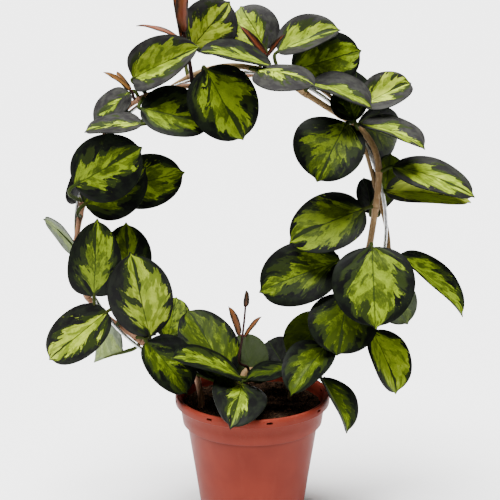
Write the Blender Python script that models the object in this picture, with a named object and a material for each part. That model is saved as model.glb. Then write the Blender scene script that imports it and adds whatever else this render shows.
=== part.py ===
# A hoya with variegated leaves, trained round a wire hoop in a plastic nursery pot.
# Metres, +Z up. The origin is on the ground below the middle of the pot, and the
# hoop stands in the XZ plane with its front towards -Y.

import math

import bmesh
import bpy
from mathutils import Vector

MM = 0.001
GAP = 0.3 * MM

# Pot
POT_HEIGHT = 105 * MM
POT_WALL = 1.6 * MM
POT_FLOOR = 2.2 * MM
POT_BASE_RADIUS = 39.5 * MM
POT_BODY_RADIUS = 51.7 * MM
BAND_BOTTOM_RADIUS = 54.8 * MM
BAND_TOP_RADIUS = 57.6 * MM
BAND_BOTTOM_HEIGHT = 81.6 * MM
LIP_RADIUS = 61 * MM
LIP_HEIGHT = 7 * MM
POT_SEGMENTS = 36
SLOT_COUNT = 8
SLOT_TURN = math.radians(-77.7)
SLOT_SIZE = (4.6 * MM, 9 * MM, 1.9 * MM)
SLOT_HEIGHT = 102.2 * MM
SLOT_RING = 57 * MM
DRAIN_COUNT = 6
DRAIN_RADIUS = 4 * MM
DRAIN_RING = 27 * MM
DRAIN_CUT = 10 * MM

# Potting mix
SOIL_HEIGHT = 95.5 * MM
SOIL_RIPPLE = 0.9 * MM
SOIL_CLEAR = 0.6 * MM
SOIL_RINGS = 7
SOIL_SEGMENTS = 30
HOLE_SIDES = 16
HOLE_SPARE = 1 * MM

# Wire hoop
HOOP_CENTRE = Vector((-16.5 * MM, 0, 237.5 * MM))
HOOP_RADIUS = 119 * MM
HOOP_BULGE = 6 * MM
BULGE_ANGLE = 62
BULGE_SPAN = 55
WIRE_RADIUS = 1.4 * MM
LEG_SPREAD = 11 * MM
LEG_FOOT = 38 * MM
LEG_BEND = 9 * MM
HOOP_STEPS = 48
LEG_STEPS = 3
BEND_STEPS = 5
WIRE_SIDES = 6

# Vines: where each leaves the ground, its first and last angle round the hoop in
# degrees, the side of the wire on which it starts, and its two radii
TWISTS = 5
VINE_SNUG = 0.35 * MM
VINE_LOOSE = 1.6 * MM
VINE_WAVES = 1.7
VINE_STEP = 6
VINE_END = 2
VINE_REACH = 9
VINE_CLEAR = 3 * MM
VINE_CLIMB = 4
VINE_SIDES = 6

VINES = {
    "vine_right": ((-11, -8, 78), (-9.5, -7.5, 110), -84, 112, -160, 2.8, 2.1),
    "vine_second": ((30, 10, 78), (33, 9.5, 114), -62, 60, 130, 1.9, 1.5),
    "vine_left": ((-40, -8, 78), (-41, -7.5, 108), -104, -282, -90, 2.3, 1.8),
}

# Near the middle of the right side the thickest vine runs loose, inside the hoop,
# and turns round to the wire's outer side a little higher up
SWERVE_VINE = "vine_right"
SWERVE_ANGLE = -4
SWERVE_SPAN = 34
SWERVE_IN = 7 * MM
LAG_ANGLE = 18
LAG_SPAN = 40
LAG_TURN = 78
LAG_LOOSE = 0.6 * MM

# The point from which the leaves were measured, in front of the hoop and a little
# above it. Each leaf's ends are given where they appear on the hoop's plane
VIEW_DISTANCE = 1.25
VIEW_HEIGHT = 221.7 * MM
VIEW_SIDE = -1.9 * MM
VIEW_PITCH = math.radians(15.5)
EYE = Vector((VIEW_SIDE, -VIEW_DISTANCE * math.cos(VIEW_PITCH),
              VIEW_HEIGHT + VIEW_DISTANCE * math.sin(VIEW_PITCH)))

# Leaves: foot and tip as seen on the hoop's plane (x, z) with their real depth y,
# all in mm, width in mm, turn about the midrib and fold of the halves in degrees,
# arch as a share of the length, lean of the blade to one side, where the blade is
# widest, and the angle round the hoop where the leaf stalk grows from its vine
LEAVES = (
    ("top_a", (-89, 355, 5), (-40, 379, -16), 45, -22, 33, 0.01, 0.00, 0.40, 121),
    ("top_b", (-45, 378, 18), (-17, 412, 12), 42, 0, 6, 0.06, 0.00, 0.50, 105),
    ("top_c", (10, 376, 14), (-9, 409, 26), 38, 10, 6, 0.06, 0.00, 0.46, 78),
    ("top_d", (14, 364, -19), (-40, 376, -26), 44, 70, 14, 0.04, 0.00, 0.46, 77),
    ("top_e", (19, 375, 4), (65, 392, 6), 40, -41, 30, 0.03, 0.00, 0.46, 74),
    ("top_f", (30, 361, 15), (81, 376, 14), 44, -2, 8, 0.06, 0.00, 0.50, 62),
    ("top_g", (4, 361, -37), (47, 350, -59), 42, -60, 0, 0.05, -0.15, 0.46, 81),
    ("right_a", (44, 351, -10), (90, 333, -22), 42, -62, 17, 0.07, 0.00, 0.46, 63),
    ("right_b", (72, 334, 14), (78, 361, 40), 34, 20, 6, 0.05, 0.00, 0.46, 47),
    ("right_c", (82, 334, 5), (119, 352, 26), 34, -24, 28, 0.04, 0.00, 0.46, 44),
    ("right_d", (77, 323, -18), (69, 348, 5), 30, -1, 20, 0.04, 0.00, 0.46, 40),
    ("right_e", (82, 320, -5), (131, 302, -24), 43, -68, 17, 0.05, 0.00, 0.46, 41),
    ("right_f", (79, 320, 11), (110, 307, 42), 42, -6, 8, 0.05, 0.00, 0.46, 42),
    ("right_g", (71, 321, -9), (49, 276, -32), 55, 10, 6, 0.04, -0.14, 0.46, 43),
    ("right_h", (97, 251, 20), (105, 298, 25), 28, 24, 10, 0.04, 0.00, 0.66, 10),
    ("right_i", (107, 287, -8), (170, 265, -20), 46, -58, 8, 0.05, 0.00, 0.46, 23),
    ("right_j", (102, 268, 6), (167, 261, 0), 46, -60, 14, 0.03, 0.00, 0.40, 18),
    ("right_k", (90, 251, 16), (85, 279, 26), 30, 49, 8, 0.04, 0.00, 0.46, 12),
    ("right_l", (85, 254, -6), (28, 228, -14), 49, 26, 6, 0.05, 0.00, 0.46, 10),
    ("right_m", (68, 213, -4), (5, 188, -8), 50, 14, 6, 0.05, -0.05, 0.50, -12),
    ("right_n", (92, 224, -22), (96, 158, -48), 63, 0, 6, 0.04, 0.00, 0.46, -8),
    ("right_o", (113, 217, -10), (165, 169, -24), 40, -60, 27, 0.04, 0.00, 0.46, -8),
    ("right_p", (103, 196, -8), (121, 162, -10), 34, 180, 8, 0.04, 0.00, 0.46, -17),
    ("right_q", (93, 156, -2), (114, 104, -18), 44, -42, 22, 0.05, 0.00, 0.50, -34),
    ("right_r", (74, 186, -10), (66, 136, -32), 54, 0, 8, 0.05, 0.00, 0.50, -27),
    ("low_a", (60, 165, 14), (26, 139, 14), 36, 0, 8, 0.05, 0.00, 0.46, -40),
    ("low_b", (58, 143, -8), (30, 103, -41), 43, 27, 30, 0.05, 0.00, 0.46, -47),
    ("low_c", (54, 117, -16), (76, 71, -30), 42, -62, 25, 0.05, 0.00, 0.56, -58),
    ("low_d", (28, 122, 4), (12, 149, 44), 34, 0, 6, 0.04, 0.00, 0.46, -65),
    ("low_e", (0, 117, 5), (-10, 154, 31), 36, 2, 8, 0.04, 0.00, 0.46, -76),
    ("low_f", (30, 126, -14), (-5, 116, -22), 34, 64, 6, 0.04, 0.00, 0.46, -65),
    ("low_g", (-20, 117, -8), (-51, 174, 23), 46, 21, 8, 0.05, 0.00, 0.46, -97),
    ("low_h", (-10, 118, -19), (-63, 135, -38), 45, 67, 12, 0.05, 0.00, 0.46, -90),
    ("low_i", (-9, 113, -12), (-17, 76, -78), 44, -7, 8, 0.10, 0.00, 0.46, -79),
    ("low_j", (-83, 147, -15), (-51, 104, -25), 48, -34, 20, 0.05, 0.00, 0.46, -123),
    ("left_a", (-66, 150, 12), (-59, 184, 32), 30, 0, 8, 0.04, 0.00, 0.46, -118),
    ("left_b", (-80, 152, -9), (-94, 219, -31), 50, -3, 8, 0.05, 0.00, 0.56, -130),
    ("left_c", (-123, 185, -21), (-119, 246, -29), 42, -2, 10, 0.05, 0.00, 0.40, -149),
    ("left_d", (-95, 201, 9), (-97, 243, -6), 38, -7, 8, 0.05, 0.00, 0.46, -154),
    ("left_e", (-135, 273, -26), (-84, 302, -36), 50, 0, 8, 0.05, 0.00, 0.50, 168),
    ("left_f", (-128, 258, -18), (-81, 287, -16), 48, 0, 8, 0.05, 0.00, 0.46, 174),
    ("left_g", (-110, 269, 11), (-52, 283, 0), 42, 0, 8, 0.05, 0.00, 0.54, 167),
    ("left_h", (-133, 260, 13), (-128, 294, 3), 38, 48, 8, 0.05, 0.00, 0.46, 170),
    ("left_i", (-133, 220, -19), (-159, 247, 9), 26, 115, -7, 0.03, 0.00, 0.46, -169),
    ("left_j", (-113, 172, -20), (-160, 132, -16), 38, 3, 8, 0.05, -0.06, 0.46, -139),
    ("left_k", (-101.5, 138.5, 10), (-124, 131, 30), 56, 144, 56, 0.04, 0.00, 0.34, -128),
    ("left_l", (-92, 344, 8), (-119, 318, 5), 36, 54, 9, 0.04, 0.00, 0.46, 124),
    ("left_m", (-84, 320, -26), (-127, 315, -27), 34, 64, 10, 0.04, 0.00, 0.42, 130),
    ("top_h", (-84, 332, -13), (-32, 319, -11), 45, -23, 27, 0.04, 0.00, 0.46, 122),
    ("top_i", (-35, 362, -14), (-7, 308, -20), 52, 0, 8, 0.05, 0.00, 0.46, 100),
)
STALK_RADIUS = 1.4 * MM
BLADE_THICKNESS = 1.3 * MM
EDGE_THICKNESS = 0.8 * MM
ACROSS = (1, 0.55, 0, -0.55, -1)
ALONG = (0.05, 0.17, 0.36, 0.58, 0.79, 0.93, 1.0)
ROUND_SHARE = 0.1
TIP_HALF = 0.5 * MM
WIDTH_POWER = 0.5
TIP_START = 0.86
TIP_DRAW = 0.3
STALK_STEPS = 3
STALK_AIM = 0.4
STALK_SWING = 0.42

# Young shoots: the stem's points (x, z, y) in mm, its radius, and its small leaves
SHOOTS = {
    "shoot_top": (
        "vine_left", -256, ((-51.5, 391, -4), (-51, 396, -5)), 1.5,
        (((-53.5, 386, -4), (-60, 424, -2), 6, 30, 24),
         ((-50.5, 390, -6), (-49, 433, -10), 12, -30, 24),
         ((-53, 384, -2), (-86, 395, 4), 6, 60, 20)),
    ),
    "shoot_left": (
        "vine_left", -235, ((-90, 344, -4), (-92.5, 347, -5)), 1.2,
        (((-92, 346, -5), (-110, 360, -8), 6, 40, 20),
         ((-91.5, 346.5, -4), (-103, 358, 2), 6, -20, 20)),
    ),
    "shoot_crown": (
        "vine_right", 78, ((10.5, 371, 3), (11, 373, 2)), 1.2,
        (((10, 372, 2), (-9, 394, -1), 6.5, 20, 20),
         ((11.5, 372, 1), (24, 388, -9), 4.5, -30, 20)),
    ),
    "shoot_centre": (
        "vine_right", -83, ((-10.5, 131, -18), (-8, 150, -20), (-6, 169, -20),
                            (-5.4, 178, -19)), 1.0,
        (((-10.5, 153, -20), (-18.2, 176, -22), 7, 30, 20),
         ((-5.5, 151.5, -20), (6.7, 168, -16), 5, -40, 20),
         ((-5.5, 176, -19), (-4.6, 189, -18), 5, 20, 20)),
    ),
}
SHOOT_STALK = 0.8 * MM
SHOOT_RISE = 0.4
YOUNG_THICKNESS = 1.0 * MM
YOUNG_ALONG = (0.06, 0.3, 0.62, 0.88, 1.0)
YOUNG_ARCH = 0.06
YOUNG_WIDEST = 0.42


def clear_scene():
    for old in list(bpy.data.objects):
        bpy.data.objects.remove(old, do_unlink=True)


def material(name, colour, roughness, metallic=0.0):
    made = bpy.data.materials.new(name)
    made.use_nodes = True
    shader = made.node_tree.nodes["Principled BSDF"]
    shader.inputs["Base Color"].default_value = (*colour, 1.0)
    shader.inputs["Roughness"].default_value = roughness
    shader.inputs["Metallic"].default_value = metallic
    return made


def add_object(name, mesh_data, surface, smooth=True):
    made = bpy.data.objects.new(name, mesh_data)
    bpy.context.scene.collection.objects.link(made)
    mesh_data.materials.clear()
    mesh_data.materials.append(surface)
    if smooth:
        mesh_data.shade_smooth()
        mesh_data.set_sharp_from_angle(angle=math.radians(40))
    return made


def mesh_from(builder, name):
    data = bpy.data.meshes.new(name)
    bmesh.ops.recalc_face_normals(builder, faces=builder.faces)
    builder.to_mesh(data)
    builder.free()
    return data


def loft(rings, name):
    # Rings of equal count joined in order, split alike on both faces, closed at the ends
    builder = bmesh.new()
    rows = [[builder.verts.new(point) for point in ring] for ring in rings]
    count = len(rows[0])
    half = count // 2
    for near, far in zip(rows, rows[1:]):
        for j in range(count):
            k = (j + 1) % count
            if j < half:
                builder.faces.new((near[j], near[k], far[k]))
                builder.faces.new((near[j], far[k], far[j]))
            else:
                builder.faces.new((near[j], near[k], far[j]))
                builder.faces.new((near[k], far[k], far[j]))
    for row in (rows[0], rows[-1]):
        middle = builder.verts.new(sum((v.co for v in row), Vector()) / count)
        for j in range(count):
            builder.faces.new((row[j], row[(j + 1) % count], middle))
    return mesh_from(builder, name)


def tube(points, radii, sides, name):
    # A round tube along a path, its section carried along without twisting
    rings = []
    side = None
    for i, point in enumerate(points):
        before = points[max(i - 1, 0)]
        after = points[min(i + 1, len(points) - 1)]
        along = (after - before).normalized()
        if side is None:
            side = along.orthogonal().normalized()
        side = (side - side.dot(along) * along).normalized()
        across = along.cross(side)
        ring = []
        for j in range(sides):
            turn = 2 * math.pi * j / sides
            ring.append(point + (side * math.cos(turn) + across * math.sin(turn)) * radii[i])
        rings.append(ring)
    return loft(rings, name)


def smooth_path(points, steps):
    # A Catmull-Rom curve through the points
    path = []
    ends = [points[0] * 2 - points[1]] + list(points) + [points[-1] * 2 - points[-2]]
    for i in range(1, len(ends) - 2):
        a, b, c, d = ends[i - 1:i + 3]
        for k in range(steps):
            t = k / steps
            path.append(0.5 * (b * 2 + (c - a) * t + (a * 2 - b * 5 + c * 4 - d) * t * t
                               + (b * 3 - a - c * 3 + d) * t ** 3))
    path.append(points[-1].copy())
    return path


# Where things are
def place(seen_x, seen_z, depth):
    # The real point at this depth that appears at (seen_x, seen_z) on the hoop's plane
    on_plane = Vector((seen_x * MM, 0, seen_z * MM))
    share = (depth * MM - EYE.y) / -EYE.y
    return EYE + (on_plane - EYE) * share


def window(degrees, middle, span):
    # 1 at the middle angle, falling smoothly to 0 at the span on each side of it
    away = abs((degrees - middle + 180) % 360 - 180)
    return math.cos(math.pi / 2 * min(away / span, 1)) ** 2


def hoop_point(degrees):
    # The wire is bent by hand, and bulges a little at the upper right
    turn = math.radians(degrees)
    outward = Vector((math.cos(turn), 0, math.sin(turn)))
    bulge = HOOP_BULGE * window(degrees, BULGE_ANGLE, BULGE_SPAN)
    return HOOP_CENTRE + outward * (HOOP_RADIUS + bulge), outward


def vine_radius(name, degrees):
    _, _, first, last, _, thick, thin = VINES[name]
    share = (degrees - first) / (last - first)
    return (thick + (thin - thick) * min(max(share, 0), 1)) * MM


def vine_point(name, degrees):
    # Each vine winds round the wire, now close against it and now a little off
    first = VINES[name][2]
    phase = VINES[name][4]
    centre, outward = hoop_point(degrees)
    swerve = 0.0
    lag = 0.0
    if name == SWERVE_VINE:
        swerve = SWERVE_IN * window(degrees, SWERVE_ANGLE, SWERVE_SPAN)
        lag = window(degrees, LAG_ANGLE, LAG_SPAN)
    turn = math.radians(phase + TWISTS * (degrees - first) - LAG_TURN * lag)
    loose = VINE_LOOSE * math.sin(math.radians(VINE_WAVES * (degrees - first))) ** 2
    reach = WIRE_RADIUS + vine_radius(name, degrees) + VINE_SNUG + loose + LAG_LOOSE * lag
    side = outward * math.cos(turn) + Vector((0, 1, 0)) * math.sin(turn)
    return centre - outward * swerve + side * reach


def vine_sample(name):
    # The angle from one ring of the vine's skin to the next
    first, last = VINES[name][2:4]
    return (last - first) / round(abs(last - first) / VINE_STEP)


def bark_centre(name, degrees):
    # The middle of the vine where its skin runs straight between two rings
    first = VINES[name][2]
    step = vine_sample(name)
    whole = math.floor((degrees - first) / step)
    start = first + whole * step
    return vine_point(name, start).lerp(vine_point(name, start + step), (degrees - start) / step)


def vine_covers(name, degrees):
    # The same angle counted the vine's way, or None where the vine doesn't reach it
    first, last = VINES[name][2:4]
    low = min(first, last) + VINE_END
    high = max(first, last) - VINE_END
    for whole in (-360, 0, 360):
        angle = degrees + whole
        if low - VINE_REACH <= angle <= high + VINE_REACH:
            return min(max(angle, low), high)
    return None


def nearest_vine(degrees, target):
    best = None
    for name in VINES:
        angle = vine_covers(name, degrees)
        if angle is None:
            continue
        reach = (bark_centre(name, angle) - target).length
        if best is None or reach < best[0]:
            best = (reach, name, angle)
    return best[1], best[2]


def vine_root(name, angle, target, radius):
    # Where a stalk meets the vine's bark, and the way it grows out
    centre = bark_centre(name, angle)
    along = (vine_point(name, angle + 1) - vine_point(name, angle - 1)).normalized()
    out = target - centre
    out = (out - out.dot(along) * along).normalized()
    return centre + out * (vine_radius(name, angle) + radius), out


# Leaves
def blade_width(u, widest):
    # Half of the blade's width at u along the midrib, drawn in to a short point
    bend = math.log(0.5) / math.log(widest)
    q = min(max(u, 0.0), 1.0) ** bend
    width = max(4 * q * (1 - q), 0.0) ** WIDTH_POWER
    point = min(max((u - TIP_START) / (1 - TIP_START), 0.0), 1.0)
    point = point * point * (3 - 2 * point)
    return width * (1 - TIP_DRAW * point)


def blade_axes(foot, tip, turn):
    along = (tip - foot).normalized()
    toward = EYE - (foot + tip) / 2
    face = (toward - toward.dot(along) * along).normalized()
    left = face.cross(along)
    cos, sin = math.cos(math.radians(turn)), math.sin(math.radians(turn))
    return along, left * cos + face * sin, face * cos - left * sin


def round_section(centre, left, face, radius):
    count = len(ACROSS)
    ring = []
    for j in range(2 * count):
        turn = math.pi * (1 - (j + 0.5) / count)
        ring.append(centre - left * math.cos(turn) * radius + face * math.sin(turn) * radius)
    return ring


def blade_section(foot, axes, length, u, width, fold, arch, lean, widest, stalk, thick):
    along, left, face = axes
    centre = foot + along * (length * u) + face * (arch * length * 4 * u * (1 - u))
    half = width / 2 * blade_width(u, widest)
    cos, sin = math.cos(math.radians(fold)), math.sin(math.radians(fold))
    upper = []
    under = []
    for v in ACROSS:
        reach = max(half * (1 + lean * (1 if v > 0 else -1)), TIP_HALF)
        point = centre + left * (reach * v * cos) + face * (reach * abs(v) * sin)
        depth = (thick + (EDGE_THICKNESS - thick) * abs(v) ** 2) / 2 / cos
        upper.append(point + face * depth)
        under.append(point - face * depth)
    flat = upper + under[::-1]
    blend = min(u / ROUND_SHARE, 1.0)
    ring = round_section(centre, left, face, stalk)
    return [a.lerp(b, blend) for a, b in zip(ring, flat)]


def stalk_sections(root, out, foot, axes, stalk, steps):
    # The stalk leaves the vine square to it and swings round into the midrib
    along, left, face = axes
    reach = (foot - root).length * STALK_SWING
    a, b, c, d = root, root + out * reach, foot - along * reach, foot
    centres = []
    tangents = []
    for i in range(steps + 1):
        t = i / steps
        s = 1 - t
        centres.append(a * s ** 3 + b * (3 * s * s * t) + c * (3 * s * t * t) + d * t ** 3)
        slope = (b - a) * (3 * s * s) + (c - b) * (6 * s * t) + (d - c) * (3 * t * t)
        tangents.append(slope.normalized())
    frames = [(left, face)]
    for i in range(steps, 0, -1):
        swing = tangents[i].rotation_difference(tangents[i - 1])
        frames.append((swing @ frames[-1][0], swing @ frames[-1][1]))
    frames.reverse()
    return [round_section(p, l, f, stalk) for p, (l, f) in zip(centres, frames)]


def leaf_mesh(row):
    name, seen_foot, seen_tip, width, turn, fold, arch, lean, widest, angle = row
    foot = place(*seen_foot)
    tip = place(*seen_tip)
    axes = blade_axes(foot, tip, turn)
    length = (tip - foot).length
    vine, angle = nearest_vine(angle, foot)
    away = (foot - vine_point(vine, angle)).length
    root, out = vine_root(vine, angle, foot - axes[0] * away * STALK_AIM, GAP)
    rings = stalk_sections(root, out, foot, axes, STALK_RADIUS, STALK_STEPS)
    for u in ALONG:
        rings.append(blade_section(foot, axes, length, u, width * MM, fold, arch, lean, widest,
                                   STALK_RADIUS, BLADE_THICKNESS))
    return loft(rings, name)


def young_leaf_mesh(stem_point, row, name):
    seen_foot, seen_tip, width, turn, fold = row
    foot = place(*seen_foot)
    tip = place(*seen_tip)
    axes = blade_axes(foot, tip, turn)
    length = (tip - foot).length
    rings = [round_section(stem_point, axes[1], axes[2], SHOOT_STALK)]
    for u in YOUNG_ALONG:
        rings.append(blade_section(foot, axes, length, u, width * MM, fold, YOUNG_ARCH, 0,
                                   YOUNG_WIDEST, SHOOT_STALK, YOUNG_THICKNESS))
    return loft(rings, name)


def unite(name, pieces, surface):
    # The pieces grow into one another, so they are joined in one body
    group = bpy.data.collections.new(name + "_pieces")
    bpy.context.scene.collection.children.link(group)
    for piece in pieces[1:]:
        bpy.context.scene.collection.objects.unlink(piece)
        group.objects.link(piece)
    base = pieces[0]
    join = base.modifiers.new("join", "BOOLEAN")
    join.operation = "UNION"
    join.operand_type = "COLLECTION"
    join.collection = group
    join.solver = "MANIFOLD"
    bpy.context.view_layer.update()
    evaluated = base.evaluated_get(bpy.context.evaluated_depsgraph_get())
    data = bpy.data.meshes.new_from_object(evaluated)
    base.modifiers.clear()
    for piece in pieces[1:]:
        bpy.data.objects.remove(piece, do_unlink=True)
    bpy.data.collections.remove(group)
    old = base.data
    base.data = data
    bpy.data.meshes.remove(old)
    base.name = name
    data.name = name
    data.materials.clear()
    data.materials.append(surface)
    return base


def cut(target, cutters):
    for cutter in cutters:
        cutter.hide_render = True
        cutter.display_type = "WIRE"
        hole = target.modifiers.new(cutter.name, "BOOLEAN")
        hole.operation = "DIFFERENCE"
        hole.object = cutter
        hole.solver = "MANIFOLD"
    bpy.context.view_layer.update()
    evaluated = target.evaluated_get(bpy.context.evaluated_depsgraph_get())
    data = bpy.data.meshes.new_from_object(evaluated)
    target.modifiers.clear()
    old = target.data
    target.data = data
    bpy.data.meshes.remove(old)
    for cutter in cutters:
        bpy.data.objects.remove(cutter, do_unlink=True)
    data.name = target.name


def turned(profile, segments, name):
    # A closed profile of (radius, height) spun round the vertical axis
    builder = bmesh.new()
    columns = []
    for i in range(segments):
        turn = 2 * math.pi * i / segments
        columns.append([
            builder.verts.new((r * math.cos(turn), r * math.sin(turn), z))
            for r, z in profile if r > 0
        ])
    poles = [builder.verts.new((0, 0, z)) for r, z in profile if r == 0]
    for i in range(segments):
        here = columns[i]
        there = columns[(i + 1) % segments]
        for j in range(len(here) - 1):
            builder.faces.new((here[j], there[j], there[j + 1], here[j + 1]))
        builder.faces.new((poles[0], there[0], here[0]))
        builder.faces.new((poles[1], here[-1], there[-1]))
    return mesh_from(builder, name)


clear_scene()

terracotta = material("pot_plastic", (0.46, 0.115, 0.07), 0.5)
peat = material("potting_mix", (0.022, 0.015, 0.011), 0.95)
steel = material("galvanised_wire", (0.52, 0.53, 0.54), 0.32, 1.0)
bark = material("vine_bark", (0.33, 0.19, 0.1), 0.6)
leaf_green = material("hoya_leaf", (0.12, 0.19, 0.035), 0.38)
young_red = material("young_leaf", (0.3, 0.075, 0.045), 0.42)

# Pot: a tapered wall, a band that steps out below the rim, and a rolled lip
outer = (
    (0, 0), (POT_BASE_RADIUS - 1 * MM, 0), (POT_BASE_RADIUS, 1 * MM),
    (POT_BODY_RADIUS, BAND_BOTTOM_HEIGHT), (BAND_BOTTOM_RADIUS - 0.4 * MM, BAND_BOTTOM_HEIGHT),
    (BAND_BOTTOM_RADIUS, BAND_BOTTOM_HEIGHT + 0.6 * MM),
    (BAND_TOP_RADIUS, POT_HEIGHT - LIP_HEIGHT), (LIP_RADIUS - 0.6 * MM, POT_HEIGHT - LIP_HEIGHT),
    (LIP_RADIUS, POT_HEIGHT - LIP_HEIGHT + 0.8 * MM), (LIP_RADIUS, POT_HEIGHT - 1 * MM),
    (LIP_RADIUS - 0.9 * MM, POT_HEIGHT),
)
inner = (
    (BAND_TOP_RADIUS - 0.6 * MM, POT_HEIGHT), (BAND_TOP_RADIUS - POT_WALL, POT_HEIGHT - 1 * MM),
    (BAND_BOTTOM_RADIUS - POT_WALL, BAND_BOTTOM_HEIGHT + 1 * MM),
    (POT_BODY_RADIUS - POT_WALL, BAND_BOTTOM_HEIGHT - 2 * MM),
    (POT_BASE_RADIUS - POT_WALL + 0.3 * MM, POT_FLOOR), (0, POT_FLOOR),
)
pot = add_object("pot", turned(outer + inner, POT_SEGMENTS, "pot"), terracotta)
cutters = []
for i in range(DRAIN_COUNT):
    turn = 2 * math.pi * (i + 0.5) / DRAIN_COUNT
    bpy.ops.mesh.primitive_cylinder_add(
        vertices=12, radius=DRAIN_RADIUS, depth=DRAIN_CUT,
        location=(DRAIN_RING * math.cos(turn), DRAIN_RING * math.sin(turn), 1 * MM))
    cutters.append(bpy.context.object)
for i in range(SLOT_COUNT):
    turn = SLOT_TURN + 2 * math.pi * i / SLOT_COUNT
    bpy.ops.mesh.primitive_cube_add(
        size=1, location=(SLOT_RING * math.cos(turn), SLOT_RING * math.sin(turn), SLOT_HEIGHT),
        rotation=(0, 0, turn + math.pi / 2))
    slot = bpy.context.object
    slot.scale = SLOT_SIZE
    cutters.append(slot)
cut(pot, cutters)

# Potting mix: fills the pot to a little below its rim, with plain holes for what stands in it
soil_profile = [
    (0, POT_FLOOR + GAP), (POT_BASE_RADIUS - POT_WALL - SOIL_CLEAR, POT_FLOOR + GAP),
    (POT_BODY_RADIUS - POT_WALL - SOIL_CLEAR, BAND_BOTTOM_HEIGHT - 2 * MM),
    (BAND_BOTTOM_RADIUS - POT_WALL - SOIL_CLEAR, BAND_BOTTOM_HEIGHT + 1.2 * MM),
]
band_share = (SOIL_HEIGHT - BAND_BOTTOM_HEIGHT) / (POT_HEIGHT - BAND_BOTTOM_HEIGHT)
edge_radius = BAND_BOTTOM_RADIUS - POT_WALL - SOIL_CLEAR
edge_radius += (BAND_TOP_RADIUS - BAND_BOTTOM_RADIUS) * band_share
for i in range(SOIL_RINGS):
    soil_profile.append((edge_radius * (1 - i / SOIL_RINGS), SOIL_HEIGHT))
soil_profile.append((0, SOIL_HEIGHT))
soil = add_object("potting_mix", turned(soil_profile, SOIL_SEGMENTS, "potting_mix"), peat, smooth=False)
for vertex in soil.data.vertices:
    x, y, z = vertex.co
    if z > SOIL_HEIGHT - MM:
        rough = math.sin(x * 610 + 1.3) * math.sin(y * 540 + 0.4) + 0.6 * math.sin(x * 1130 + y * 870)
        vertex.co.z = z + SOIL_RIPPLE * rough
holes = []


def hoop_leg(side):
    return Vector((HOOP_CENTRE.x + side * LEG_SPREAD, 0, 0))


for side in (-1, 1):
    spot = hoop_leg(side)
    holes.append((spot.x, spot.y, LEG_FOOT - HOLE_SPARE, WIRE_RADIUS + GAP))
for foot, _, _, _, _, thick, _ in VINES.values():
    x, y, low = Vector(foot) * MM
    holes.append((x, y, low - HOLE_SPARE, thick * MM + GAP))
cutters = []
for x, y, low, radius in holes:
    depth = POT_HEIGHT - low
    bpy.ops.mesh.primitive_cylinder_add(
        vertices=HOLE_SIDES, radius=radius / math.cos(math.pi / HOLE_SIDES), depth=depth,
        location=(x, y, low + depth / 2))
    cutters.append(bpy.context.object)
cut(soil, cutters)

# Hoop: one wire, bent round and down at the bottom into two legs
half_opening = math.degrees(math.asin((LEG_SPREAD + LEG_BEND) / HOOP_RADIUS))
legs = {}
for side in (-1, 1):
    leg = hoop_leg(side)
    join = hoop_point(-90 + side * half_opening)[0]
    legs[side] = []
    for k in range(LEG_STEPS + 1):
        height = LEG_FOOT + (join.z - LEG_BEND - LEG_FOOT) * k / LEG_STEPS
        legs[side].append(leg + Vector((0, 0, height)))
    corner = leg + Vector((0, 0, join.z))
    top = legs[side][-1]
    for k in range(1, BEND_STEPS):
        t = k / BEND_STEPS
        legs[side].append(top * (1 - t) ** 2 + corner * (2 * t * (1 - t)) + join * t * t)
arc = []
for k in range(HOOP_STEPS + 1):
    arc.append(hoop_point(-90 + half_opening + (360 - 2 * half_opening) * k / HOOP_STEPS)[0])
wire = legs[1] + arc + legs[-1][::-1]
add_object("hoop", tube(wire, [WIRE_RADIUS] * len(wire), WIRE_SIDES, "hoop"), steel)

# Vines: straight up out of the soil, then round the wire
for name, (foot, rise, first, last, phase, thick, thin) in VINES.items():
    step = vine_sample(name)
    above_soil = Vector((foot[0] * MM, foot[1] * MM, SOIL_HEIGHT + VINE_CLEAR))
    climb = [above_soil, Vector(rise) * MM, vine_point(name, first), vine_point(name, first + step)]
    centres = [Vector(foot) * MM] + smooth_path(climb, VINE_CLIMB)[:-VINE_CLIMB - 1]
    radii = [thick * MM] * len(centres)
    for k in range(round((last - first) / step) + 1):
        centres.append(vine_point(name, first + k * step))
        radii.append(vine_radius(name, first + k * step))
    add_object(name, tube(centres, radii, VINE_SIDES, name), bark)

# Leaves: each a blade and its stalk, grown as one
for row in LEAVES:
    add_object("leaf_" + row[0], leaf_mesh(row), leaf_green)

# Young shoots
for name, (vine, angle, stem, radius, leaves) in SHOOTS.items():
    stem_points = [place(*point) for point in stem]
    root, out = vine_root(vine, angle, stem_points[0], GAP)
    reach = (stem_points[0] - root).length
    route = [root, root + out * reach * SHOOT_RISE] + stem_points
    line = smooth_path(route, 3)
    pieces = [add_object(name + "_stem", tube(line, [radius * MM] * len(line), 6, name), young_red)]
    for i, row in enumerate(leaves):
        foot = place(*row[0])
        near = min(line, key=lambda point: (point - foot).length)
        pieces.append(add_object(f"{name}_{i}", young_leaf_mesh(near, row, f"{name}_{i}"), young_red))
    unite(name, pieces, young_red)
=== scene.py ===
# A hoya with two-tone leaves, trained round a wire hoop in a terracotta-coloured pot.
# The file puts the plant together from the pot upwards, then lights and frames it.

import math
import random

import bpy
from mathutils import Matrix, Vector, noise


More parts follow.
